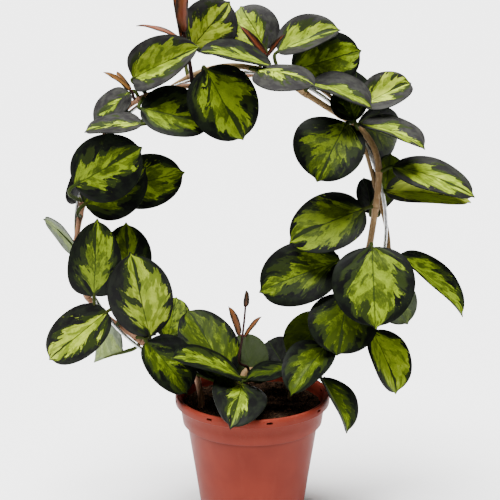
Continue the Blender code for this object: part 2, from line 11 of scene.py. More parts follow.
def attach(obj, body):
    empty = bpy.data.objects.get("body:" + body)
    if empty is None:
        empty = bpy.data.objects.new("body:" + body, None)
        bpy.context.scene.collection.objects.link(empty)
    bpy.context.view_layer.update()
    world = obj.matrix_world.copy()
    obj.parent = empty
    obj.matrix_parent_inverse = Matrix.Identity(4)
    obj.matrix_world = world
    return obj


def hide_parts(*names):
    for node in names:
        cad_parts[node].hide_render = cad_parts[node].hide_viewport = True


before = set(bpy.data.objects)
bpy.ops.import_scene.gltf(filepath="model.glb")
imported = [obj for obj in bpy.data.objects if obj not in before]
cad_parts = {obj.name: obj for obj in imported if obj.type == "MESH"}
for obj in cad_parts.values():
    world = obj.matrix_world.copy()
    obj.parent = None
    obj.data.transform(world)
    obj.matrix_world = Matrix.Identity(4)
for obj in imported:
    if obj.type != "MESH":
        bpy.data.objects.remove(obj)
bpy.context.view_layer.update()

MM = 0.001


# Pot. A thin injection-moulded nursery pot of red-brown polypropylene, with a stepped band
# below a thick rolled lip, small slots under the lip and drain holes in its floor.
# The moulding is turned from one profile; its holes are pierced afterwards.
POT_PROFILE = (
    (0, 0), (36.5, 0), (38.6, 0.3), (39.6, 1.4), (45.9, 44), (51.6, 81.2), (51.9, 81.9),
    (54.3, 81.9), (55.0, 82.6), (56.1, 90), (57.3, 97.3), (57.7, 97.9), (60.1, 98.0),
    (60.8, 98.7), (61.0, 101), (60.9, 103.8), (60.1, 104.9), (58.9, 105), (57.3, 104.6),
    (56.2, 103.4), (55.6, 99), (53.4, 83), (50.2, 80), (44.3, 43), (38.3, 2.9), (37.4, 2.2),
    (0, 2.2),
)
POT_STEPS = 96
POT_SMOOTH = math.radians(38)
WELD = 0.01 * MM
SLOT_COUNT = 8
SLOT_TURN = math.radians(-77.7)
SLOT_SIZE = (4.6 * MM, 9 * MM, 1.9 * MM)
SLOT_RING = 57 * MM
SLOT_HEIGHT = 102.2 * MM
DRAIN_COUNT = 6
DRAIN_SIDES = 24
DRAIN_RADIUS = 4 * MM
DRAIN_DEPTH = 10 * MM
DRAIN_RING = 27 * MM
# The shade under the band and under the lip: where it starts, is full, fades and ends
BAND_SHADE = (77.5 * MM, 81.2 * MM, 82.0 * MM, 83.0 * MM)
LIP_SHADE = (96.0 * MM, 97.8 * MM, 98.1 * MM, 99.0 * MM)
LIP_SHADE_SHARE = 0.7
SPLASH_START = 70 * MM
SPLASH_FULL = 106 * MM
SPLASH_RAGGED = 30 * MM
POT_RED = (0.126, 0.0160, 0.0085)
POT_RED_PALE = (0.150, 0.0202, 0.0106)
POT_HAZE = (0.21, 0.042, 0.025)
POT_SPLASH = (0.14, 0.075, 0.05)
POT_SHADE = (0.055, 0.0075, 0.0045)


class Socket:
    """One value inside a finish. A sum written with it adds the Math node that works it out."""

    def __init__(self, finish, socket):
        self.finish = finish
        self.socket = socket

    def __add__(self, other):
        return self.finish.maths("ADD", self, other)

    def __radd__(self, other):
        return self.finish.maths("ADD", other, self)

    def __sub__(self, other):
        return self.finish.maths("SUBTRACT", self, other)

    def __rsub__(self, other):
        return self.finish.maths("SUBTRACT", other, self)

    def __mul__(self, other):
        return self.finish.maths("MULTIPLY", self, other)

    def __rmul__(self, other):
        return self.finish.maths("MULTIPLY", other, self)

    def __abs__(self):
        return self.finish.maths("ABSOLUTE", self)


class Finish:
    """A surface finish: one material, with its pattern written as sums of sockets."""

    def __init__(self, name, **fixed):
        self.material = bpy.data.materials.new(name)
        self.material.use_nodes = True
        self.nodes = self.material.node_tree.nodes
        self.links = self.material.node_tree.links
        self.shader = self.nodes["Principled BSDF"]
        for socket_name, value in fixed.items():
            self.wear(socket_name.replace("_", " "), value)

    def feed(self, socket, value):
        if isinstance(value, Socket):
            self.links.new(value.socket, socket)
        else:
            socket.default_value = value

    def node(self, kind, settings=None, values=None, output=0):
        # Settings come before values. A tuple of outputs gives a list of sockets
        made = self.nodes.new(kind)
        for name, setting in (settings or {}).items():
            setattr(made, name, setting)
        for key, value in (values or {}).items():
            self.feed(made.inputs[key], value)
        if isinstance(output, tuple):
            return [Socket(self, made.outputs[key]) for key in output]
        return Socket(self, made.outputs[output])

    def maths(self, operation, *values):
        return self.node("ShaderNodeMath", {"operation": operation}, dict(enumerate(values)))

    def clamp(self, value):
        return self.node("ShaderNodeClamp", {}, {0: value})

    def ease(self, value, low, high):
        # Nought below low, one above high, smooth between
        return self.node("ShaderNodeMapRange", {"interpolation_type": "SMOOTHSTEP"},
                         {"Value": value, "From Min": low, "From Max": high})

    def mix(self, share, first, second):
        first, second = [(*c, 1) if isinstance(c, tuple) else c for c in (first, second)]
        return self.node("ShaderNodeMix", {"data_type": "RGBA"},
                         {0: share, 6: first, 7: second}, output=2)

    def vector(self, x, y, z):
        return self.node("ShaderNodeCombineXYZ", {}, {0: x, 1: y, 2: z})

    def place(self):
        return self.node("ShaderNodeTexCoord", {}, {}, output="Object")

    def stretched(self, vector, scale):
        return self.node("ShaderNodeMapping", {}, {"Vector": vector, "Scale": scale})

    def cloud(self, vector, scale, detail, rough=0.55):
        return self.node("ShaderNodeTexNoise", {},
                         {"Vector": vector, "Scale": scale, "Detail": detail, "Roughness": rough})

    def wear(self, socket_name, value):
        if isinstance(value, tuple) and len(value) == 3 and socket_name.endswith("Color"):
            value = (*value, 1)
        self.feed(self.shader.inputs[socket_name], value)

    def bump(self, height, strength, distance):
        return self.node("ShaderNodeBump", {},
                         {"Strength": strength, "Distance": distance, "Height": height})


def let_go():
    # Nothing selected, and no object in edit mode
    if bpy.context.object and bpy.context.object.mode != "OBJECT":
        bpy.ops.object.mode_set(mode="OBJECT")
    bpy.ops.object.select_all(action="DESELECT")


def settle(piece, name, *finishes):
    # The finished piece stands at the origin, unturned, and wears its finishes
    let_go()
    piece.select_set(True)
    bpy.context.view_layer.objects.active = piece
    bpy.ops.object.transform_apply(location=True, rotation=True, scale=True)
    piece.name = name
    piece.data.name = name
    if finishes:
        piece.data.materials.clear()
    for finish in finishes:
        piece.data.materials.append(finish.material)
    return piece


def turned(profile, steps, name):
    # One vertex is drawn out along the profile, and the line is spun round the pot's axis
    let_go()
    bpy.ops.mesh.primitive_plane_add(size=MM)
    piece = bpy.context.object
    bpy.ops.object.mode_set(mode="EDIT")
    bpy.ops.mesh.merge(type="CENTER")
    here = Vector((profile[0][0], 0, profile[0][1])) * MM
    bpy.ops.transform.translate(value=here)
    for radius, height in profile[1:]:
        there = Vector((radius, 0, height)) * MM
        bpy.ops.mesh.extrude_region_move(TRANSFORM_OT_translate={"value": there - here})
        here = there
    bpy.ops.mesh.select_all(action="SELECT")
    bpy.ops.mesh.spin(steps=steps, angle=2 * math.pi, center=(0, 0, 0), axis=(0, 0, 1))
    bpy.ops.mesh.select_all(action="SELECT")
    bpy.ops.mesh.remove_doubles(threshold=WELD)
    bpy.ops.mesh.normals_make_consistent(inside=False)
    bpy.ops.object.mode_set(mode="OBJECT")
    bpy.ops.object.shade_smooth_by_angle(angle=POT_SMOOTH)
    piece.name = name
    return piece


def joined(pieces):
    # The first piece takes the others in
    let_go()
    for piece in pieces:
        piece.select_set(True)
    bpy.context.view_layer.objects.active = pieces[0]
    bpy.ops.object.join()
    return bpy.context.object


def pierce(piece, cutters):
    # The cutters are joined and taken out of the piece in one Boolean
    tool = joined(cutters)
    let_go()
    piece.select_set(True)
    bpy.context.view_layer.objects.active = piece
    hole = piece.modifiers.new("holes", "BOOLEAN")
    hole.object = tool
    hole.operation = "DIFFERENCE"
    hole.solver = "EXACT"
    bpy.ops.object.modifier_apply(modifier="holes")
    bpy.data.objects.remove(tool)


pot = turned(POT_PROFILE, POT_STEPS, "pot_moulding")
cutters = []
for i in range(SLOT_COUNT):
    turn = SLOT_TURN + 2 * math.pi * i / SLOT_COUNT
    let_go()
    bpy.ops.mesh.primitive_cube_add(
        size=1, scale=SLOT_SIZE, rotation=(0, 0, turn + math.pi / 2),
        location=(SLOT_RING * math.cos(turn), SLOT_RING * math.sin(turn), SLOT_HEIGHT))
    cutters.append(bpy.context.object)
for i in range(DRAIN_COUNT):
    turn = 2 * math.pi * (i + 0.5) / DRAIN_COUNT
    let_go()
    bpy.ops.mesh.primitive_cylinder_add(
        vertices=DRAIN_SIDES, radius=DRAIN_RADIUS, depth=DRAIN_DEPTH,
        location=(DRAIN_RING * math.cos(turn), DRAIN_RING * math.sin(turn), MM))
    cutters.append(bpy.context.object)
pierce(pot, cutters)

moulded = Finish("red_brown_plastic", Roughness=0.5, Specular_IOR_Level=0.08)
spot = moulded.place()
mottle = moulded.cloud(spot, 38, 3)
haze = moulded.cloud(moulded.stretched(spot, (1, 1, 0.22)), 90, 4)
dust = moulded.cloud(spot, 700, 2)
height = moulded.node("ShaderNodeSeparateXYZ", {}, {0: spot}, output=2)
shades = []
for start, full, fading, end in (BAND_SHADE, LIP_SHADE):
    shades.append(moulded.ease(height, start, full) * (1 - moulded.ease(height, fading, end)))
shade = shades[0] + shades[1] * LIP_SHADE_SHARE
ragged = height + (mottle - 0.5) * SPLASH_RAGGED
splash = moulded.ease(ragged, SPLASH_START, SPLASH_FULL) * moulded.ease(dust, 0.5, 0.72)
colour = moulded.mix(moulded.ease(mottle, 0.3, 0.7), POT_RED, POT_RED_PALE)
colour = moulded.mix(moulded.ease(haze, 0.52, 0.8) * 0.2, colour, POT_HAZE)
colour = moulded.mix(splash * 0.16, colour, POT_SPLASH)
moulded.wear("Base Color", moulded.mix(shade * 0.55, colour, POT_SHADE))
moulded.wear("Roughness", 0.40 + haze * 0.16 + splash * 0.2)
moulded.wear("Normal", moulded.bump(mottle * 0.6 + dust * 0.4, 0.12, 0.4 * MM))
settle(pot, "pot_moulding", moulded)
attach(pot, "root")
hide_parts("pot")


# Potting mix. Dark peat and composted bark, filled loose to a little below the rim and
# heaped slightly where the stems go in. It is a rough mound with crumbs and chips on it.
SOIL_RADIUS = 54.2 * MM
SOIL_HEIGHT = 95.5 * MM
SOIL_SIDES = ((52.8, 84), (49.4, 79.6), (43.5, 43), (37.1, 2.6))
SOIL_SPOKES = 64
SOIL_CUTS = 14
SOIL_SMOOTH = math.radians(50)
# Lumps from coarse to fine: how closely they lie, which layer of the noise, how high they stand
SOIL_LUMPS = ((95, 3.1, 2.0 * MM), (330, 7.7, 0.9 * MM), (900, 1.3, 0.4 * MM))
HEAP_PLACE = -12 * MM
HEAP_SPAN = 26 * MM
HEAP_HEIGHT = 1.5 * MM
PEAT_DARK = (0.0045, 0.0028, 0.0018)
PEAT_BROWN = (0.026, 0.0135, 0.0075)
PEAT_FIBRE = (0.095, 0.046, 0.022)
SOIL_SEED = 7
STREWN_MARGIN = 2.5 * MM
STREWN_LEAN = 0.6
CRUMB_COUNT = 520
CRUMB_SIZES = (0.5, 1.5)
CRUMB_RISE = 0.3
CHIP_COUNT = 70
CHIP_SIZES = (0.8, 1.6)
CHIP_RISE = 0.25
CHIP_SHAPE = (2.6, 1.2, 0.5)
CHIP_WEAR = 0.18
CHIP_DARK = (0.018, 0.010, 0.006)
CHIP_BROWN = (0.085, 0.040, 0.020)
CHIP_GRAIN = (0.030, 0.018, 0.011)


def soil_top(x, y):
    # Lumps of three sizes, and a slight heap towards the stems
    top = SOIL_HEIGHT
    for closeness, layer, rise in SOIL_LUMPS:
        top += rise * noise.noise(Vector((x * closeness, y * closeness, layer)))
    return top + HEAP_HEIGHT * math.exp(-((x - HEAP_PLACE) ** 2 + y * y) / HEAP_SPAN ** 2)


let_go()
bpy.ops.mesh.primitive_circle_add(vertices=SOIL_SPOKES, radius=SOIL_RADIUS, fill_type="TRIFAN",
                                  location=(0, 0, SOIL_HEIGHT))
soil = bpy.context.object
bpy.ops.object.transform_apply(location=True)
bpy.ops.object.mode_set(mode="EDIT")
bpy.ops.mesh.select_all(action="SELECT")
bpy.ops.mesh.subdivide(number_cuts=SOIL_CUTS)
bpy.ops.object.mode_set(mode="OBJECT")
for vertex in soil.data.vertices:
    vertex.co.z = soil_top(vertex.co.x, vertex.co.y)
bpy.ops.object.mode_set(mode="EDIT")
bpy.ops.mesh.select_all(action="SELECT")
bpy.ops.mesh.region_to_loop()
reach = SOIL_RADIUS
for radius, height in SOIL_SIDES:
    bpy.ops.mesh.extrude_edges_move()
    bpy.ops.transform.resize(value=(radius * MM / reach, radius * MM / reach, 0),
                             center_override=(0, 0, height * MM))
    reach = radius * MM
bpy.ops.mesh.edge_face_add()
bpy.ops.mesh.select_all(action="SELECT")
bpy.ops.mesh.normals_make_consistent(inside=False)
bpy.ops.object.mode_set(mode="OBJECT")
bpy.ops.object.shade_smooth_by_angle(angle=SOIL_SMOOTH)

peat = Finish("peat_and_bark", Roughness=0.95, Specular_IOR_Level=0.04)
spot = peat.place()
clods = peat.cloud(spot, 260, 4, 0.6)
fibre = peat.cloud(peat.stretched(spot, (1, 0.35, 1)), 1500, 3, 0.6)
colour = peat.mix(peat.ease(clods, 0.35, 0.68), PEAT_DARK, PEAT_BROWN)
colour = peat.mix(peat.ease(fibre, 0.54, 0.72) * 0.8, colour, PEAT_FIBRE)
peat.wear("Base Color", colour)
peat.wear("Roughness", 0.82 + clods * 0.15)
peat.wear("Normal", peat.bump(clods * 0.6 + fibre * 0.4, 0.8, 0.8 * MM))
settle(soil, "potting_mix_mound", peat)
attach(soil, "root")
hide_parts("potting_mix")

# One crumb and one chip are shaped, and copies are strewn over the mound
let_go()
bpy.ops.mesh.primitive_ico_sphere_add(subdivisions=1, radius=1)
crumb = bpy.context.object
let_go()
bpy.ops.mesh.primitive_cube_add(size=1, scale=CHIP_SHAPE)
chip = bpy.context.object
bpy.ops.object.transform_apply(scale=True)
bevel = chip.modifiers.new("worn", "BEVEL")
bevel.width = CHIP_WEAR
bevel.segments = 1
bpy.ops.object.modifier_apply(modifier="worn")

draw = random.Random(SOIL_SEED)


def strewn(pattern, count, sizes, rise):
    # Each copy has its own size, squashing and lean, and its middle a little above the mix
    bits = []
    for i in range(count):
        reach = (SOIL_RADIUS - STREWN_MARGIN) * math.sqrt(draw.random())
        turn = draw.uniform(0, 2 * math.pi)
        x, y = reach * math.cos(turn), reach * math.sin(turn)
        size = draw.uniform(*sizes) * MM
        bit = pattern.copy()
        bit.data = pattern.data.copy()
        bpy.context.scene.collection.objects.link(bit)
        bit.location = (x, y, soil_top(x, y) + size * rise)
        bit.scale = (size * draw.uniform(0.7, 1.3), size * draw.uniform(0.6, 1.1),
                     size * draw.uniform(0.5, 0.9))
        lean_x = draw.uniform(-STREWN_LEAN, STREWN_LEAN)
        lean_y = draw.uniform(-STREWN_LEAN, STREWN_LEAN)
        bit.rotation_euler = (lean_x, lean_y, draw.uniform(0, 2 * math.pi))
        bits.append(bit)
    bpy.data.objects.remove(pattern)
    return joined(bits)


crumbs = strewn(crumb, CRUMB_COUNT, CRUMB_SIZES, CRUMB_RISE)
settle(crumbs, "peat_crumbs", peat)
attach(crumbs, "root")

bark_chip = Finish("bark_chips", Roughness=0.9, Specular_IOR_Level=0.05)
spot = bark_chip.place()
patch = bark_chip.cloud(spot, 180, 2)
grain = bark_chip.cloud(spot, 1400, 3)
colour = bark_chip.mix(bark_chip.ease(patch, 0.35, 0.65), CHIP_DARK, CHIP_BROWN)
bark_chip.wear("Base Color", bark_chip.mix(grain * 0.5, colour, CHIP_GRAIN))
bark_chip.wear("Normal", bark_chip.bump(grain, 0.6, 0.3 * MM))
chips = strewn(chip, CHIP_COUNT, CHIP_SIZES, CHIP_RISE)
settle(chips, "bark_chips", bark_chip)
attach(chips, "root")


# Hoop. One length of galvanised steel wire bent into a ring by hand, with its two ends
# turned down and pushed into the potting mix as legs.
HOOP_CENTRE = Vector((-16.5, 0, 237.5)) * MM
HOOP_RADIUS = 119 * MM
HOOP_BULGE = 6 * MM
BULGE_ANGLE = 62
BULGE_SPAN = 55
WIRE_RADIUS = 1.4
ROD_SMOOTH = math.radians(50)
RING_STEPS = 150
LEG_SPREAD = 11 * MM
LEG_FOOT = 38 * MM
LEG_STEPS = 6
LEG_BEND = 9 * MM
BEND_STEPS = 10
ZINC_GREY = (0.44, 0.45, 0.46)
ZINC_PALE = (0.64, 0.64, 0.65)
ZINC_RUBBED = (0.24, 0.24, 0.25)


def window(degrees, middle, span):
    # One at the middle angle, falling smoothly to nought a span away on either side
    away = abs((degrees - middle + 180) % 360 - 180)
    return math.cos(math.pi / 2 * min(away / span, 1)) ** 2


def hoop_point(degrees):
    # The wire's middle at an angle round the hoop, and the way out from the centre there
    turn = math.radians(degrees)
    outward = Vector((math.cos(turn), 0, math.sin(turn)))
    bulge = HOOP_BULGE * window(degrees, BULGE_ANGLE, BULGE_SPAN)
    return HOOP_CENTRE + outward * (HOOP_RADIUS + bulge), outward


def rod(points, radii, sides_level, name):
    # A curve with a round bevel, its thickness given point by point in mm, made a mesh
    let_go()
    bpy.ops.curve.primitive_bezier_curve_add()
    piece = bpy.context.object
    line = piece.data
    line.splines.clear()
    spline = line.splines.new("POLY")
    spline.points.add(len(points) - 1)
    for point, place, radius in zip(spline.points, points, radii):
        point.co = (*place, 1)
        point.radius = radius
    line.dimensions = "3D"
    line.bevel_depth = MM
    line.bevel_resolution = sides_level
    line.use_fill_caps = True
    line.twist_mode = "MINIMUM"
    piece.location = (0, 0, 0)
    bpy.ops.object.convert(target="MESH")
    piece = bpy.context.object
    bpy.ops.object.shade_smooth_by_angle(angle=ROD_SMOOTH)
    piece.name = name
    return piece


half_opening = math.degrees(math.asin((LEG_SPREAD + LEG_BEND) / HOOP_RADIUS))
legs = {}
for side in (-1, 1):
    foot = Vector((HOOP_CENTRE.x + side * LEG_SPREAD, 0, LEG_FOOT))
    join = hoop_point(-90 + side * half_opening)[0]
    top = Vector((foot.x, 0, join.z - LEG_BEND))
    corner = Vector((foot.x, 0, join.z))
    legs[side] = [foot.lerp(top, k / LEG_STEPS) for k in range(LEG_STEPS + 1)]
    for k in range(1, BEND_STEPS):
        t = k / BEND_STEPS
        legs[side].append(top * (1 - t) ** 2 + corner * (2 * t * (1 - t)) + join * t * t)
ring = []
for k in range(RING_STEPS + 1):
    angle = -90 + half_opening + (360 - 2 * half_opening) * k / RING_STEPS
    ring.append(hoop_point(angle)[0])
wire_line = legs[1] + ring + legs[-1][::-1]
hoop = rod(wire_line, [WIRE_RADIUS] * len(wire_line), 3, "wire_hoop")

zinc = Finish("dull_zinc", Metallic=1.0, Roughness=0.32)
spot = zinc.place()
spangle = zinc.cloud(spot, 420, 2)
rub = zinc.cloud(spot, 60, 3)
colour = zinc.mix(zinc.ease(spangle, 0.4, 0.6), ZINC_GREY, ZINC_PALE)
zinc.wear("Base Color", zinc.mix(zinc.ease(rub, 0.55, 0.75) * 0.5, colour, ZINC_RUBBED))
zinc.wear("Roughness", 0.26 + rub * 0.2)
zinc.wear("Normal", zinc.bump(spangle, 0.15, 0.1 * MM))
settle(hoop, "wire_hoop", zinc)
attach(hoop, "root")
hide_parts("hoop")


# Vines. Three woody stems, tan or flushed red, grown up out of the pot and wound round the
# wire, with a swollen joint wherever a leaf grows out.
TWISTS = 5
VINE_SNUG = 0.35 * MM
VINE_LOOSE = 1.6 * MM
VINE_WAVES = 1.7
VINE_END = 2
VINE_REACH = 9
VINE_STEP = 0.5
VINE_LEAD = 6
VINE_CLEAR = 98.5
CLIMB_STEPS = 8
FOOT_SWELL = 1.06
JOINT_SWELL = 0.22
JOINT_SPAN = 1.3
SCAR_REACH = 0.8 * MM
SCAR_NEAR = 6 * MM
SWERVE_VINE = "vine_right"
SWERVE_ANGLE = -4
SWERVE_SPAN = 34
SWERVE_IN = 7 * MM
LAG_ANGLE = 18
LAG_SPAN = 40
LAG_TURN = 78
LAG_LOOSE = 0.6 * MM
# Foot in the mix and first rise over it, the angles round the hoop where the vine joins it
# and ends, its first turn round the wire, and its radius there and at its end
VINES = {
    "vine_right": ((-11, -8, 78), (-9.5, -7.5, 110), -84, 112, -160, 2.8, 2.1),
    "vine_second": ((30, 10, 78), (33, 9.5, 114), -62, 60, 130, 1.9, 1.5),
    "vine_left": ((-40, -8, 78), (-41, -7.5, 108), -104, -282, -90, 2.3, 1.8),
}
# Main colour, darker patches and paler streaks
VINE_BARKS = {
    "vine_right": ((0.265, 0.165, 0.075), (0.15, 0.085, 0.036), (0.40, 0.28, 0.155)),
    "vine_second": ((0.20, 0.125, 0.056), (0.10, 0.058, 0.025), (0.30, 0.20, 0.10)),
    "vine_left": ((0.39, 0.195, 0.118), (0.21, 0.102, 0.058), (0.50, 0.32, 0.215)),
}
BARK_SPECK = (0.09, 0.05, 0.03)
BARK_SCAR = (0.075, 0.045, 0.019)


def vine_radius(name, degrees):
    _, _, first, last, _, thick, thin = VINES[name]
    share = (degrees - first) / (last - first)
    return thick + (thin - thick) * min(max(share, 0), 1)


def vine_point(name, degrees):
    # It winds round the wire, snug in places and looser between. The right vine swings in
    # from the wire for a stretch, and its turns lag a little further up
    first = VINES[name][2]
    centre, outward = hoop_point(degrees)
    swerve = 0.0
    lag = 0.0
    if name == SWERVE_VINE:
        swerve = SWERVE_IN * window(degrees, SWERVE_ANGLE, SWERVE_SPAN)
        lag = window(degrees, LAG_ANGLE, LAG_SPAN)
    turn = math.radians(VINES[name][4] + TWISTS * (degrees - first) - LAG_TURN * lag)
    loose = VINE_LOOSE * math.sin(math.radians(VINE_WAVES * (degrees - first))) ** 2
    reach = (WIRE_RADIUS + vine_radius(name, degrees)) * MM + VINE_SNUG + loose + LAG_LOOSE * lag
    side = outward * math.cos(turn) + Vector((0, 1, 0)) * math.sin(turn)
    return centre - outward * swerve + side * reach


def vine_heading(name, degrees):
    return (vine_point(name, degrees + 1) - vine_point(name, degrees - 1)).normalized()


def root_on(name, degrees, toward):
    # Where a stalk leaves the bark towards a point, and its way out, square to the vine
    centre = vine_point(name, degrees)
    heading = vine_heading(name, degrees)
    out = toward - centre
    out = (out - out.dot(heading) * heading).normalized()
    return centre + out * vine_radius(name, degrees) * MM, out


def vine_covers(name, degrees):
    # The same angle in the vine's own count, held inside its ends, or None past its reach
    first, last = VINES[name][2:4]
    low, high = min(first, last) + VINE_END, max(first, last) - VINE_END
    for whole in (-360, 0, 360):
        if low - VINE_REACH <= degrees + whole <= high + VINE_REACH:
            return min(max(degrees + whole, low), high)
    return None


def nearest_vine(degrees, target):
    found = []
    for name in VINES:
        angle = vine_covers(name, degrees)
        if angle is not None:
            found.append(((vine_point(name, angle) - target).length, name, angle))
    return min(found)[1:]


def smooth_path(points, steps):
    # A smooth curve through all the points, with so many steps from each to the next
    path = []
    ends = [points[0] * 2 - points[1]] + list(points) + [points[-1] * 2 - points[-2]]
    for i in range(1, len(ends) - 2):
        a, b, c, d = ends[i - 1:i + 3]
        for k in range(steps):
            t = k / steps
            path.append(0.5 * (b * 2 + (c - a) * t + (a * 2 - b * 5 + c * 4 - d) * t * t
                               + (b * 3 - a - c * 3 + d) * t ** 3))
    path.append(points[-1].copy())
    return path


def bark_finish(name, base, dark, pale):
    bark = Finish(name, Roughness=0.62, Specular_IOR_Level=0.15)
    spot = bark.place()
    patch = bark.cloud(spot, 45, 3)
    streak = bark.cloud(bark.stretched(spot, (1, 1, 0.3)), 900, 3, 0.6)
    speck = bark.cloud(spot, 1300, 2)
    colour = bark.mix(bark.ease(patch, 0.35, 0.7), base, dark)
    colour = bark.mix(bark.ease(streak, 0.5, 0.75) * 0.6, colour, pale)
    colour = bark.mix(bark.ease(speck, 0.62, 0.72) * 0.5, colour, BARK_SPECK)
    joint = bark.node("ShaderNodeAttribute", {"attribute_name": "joint"}, {}, output="Fac")
    scar = bark.ease(joint + (streak - 0.5) * 0.5, 0.35, 0.85)
    bark.wear("Base Color", bark.mix(scar * 0.6, colour, BARK_SCAR))
    bark.wear("Roughness", 0.52 + streak * 0.25)
    bark.wear("Normal", bark.bump(streak * 0.7 + speck * 0.3 + scar * 0.8, 0.5, 0.25 * MM))
    return bark
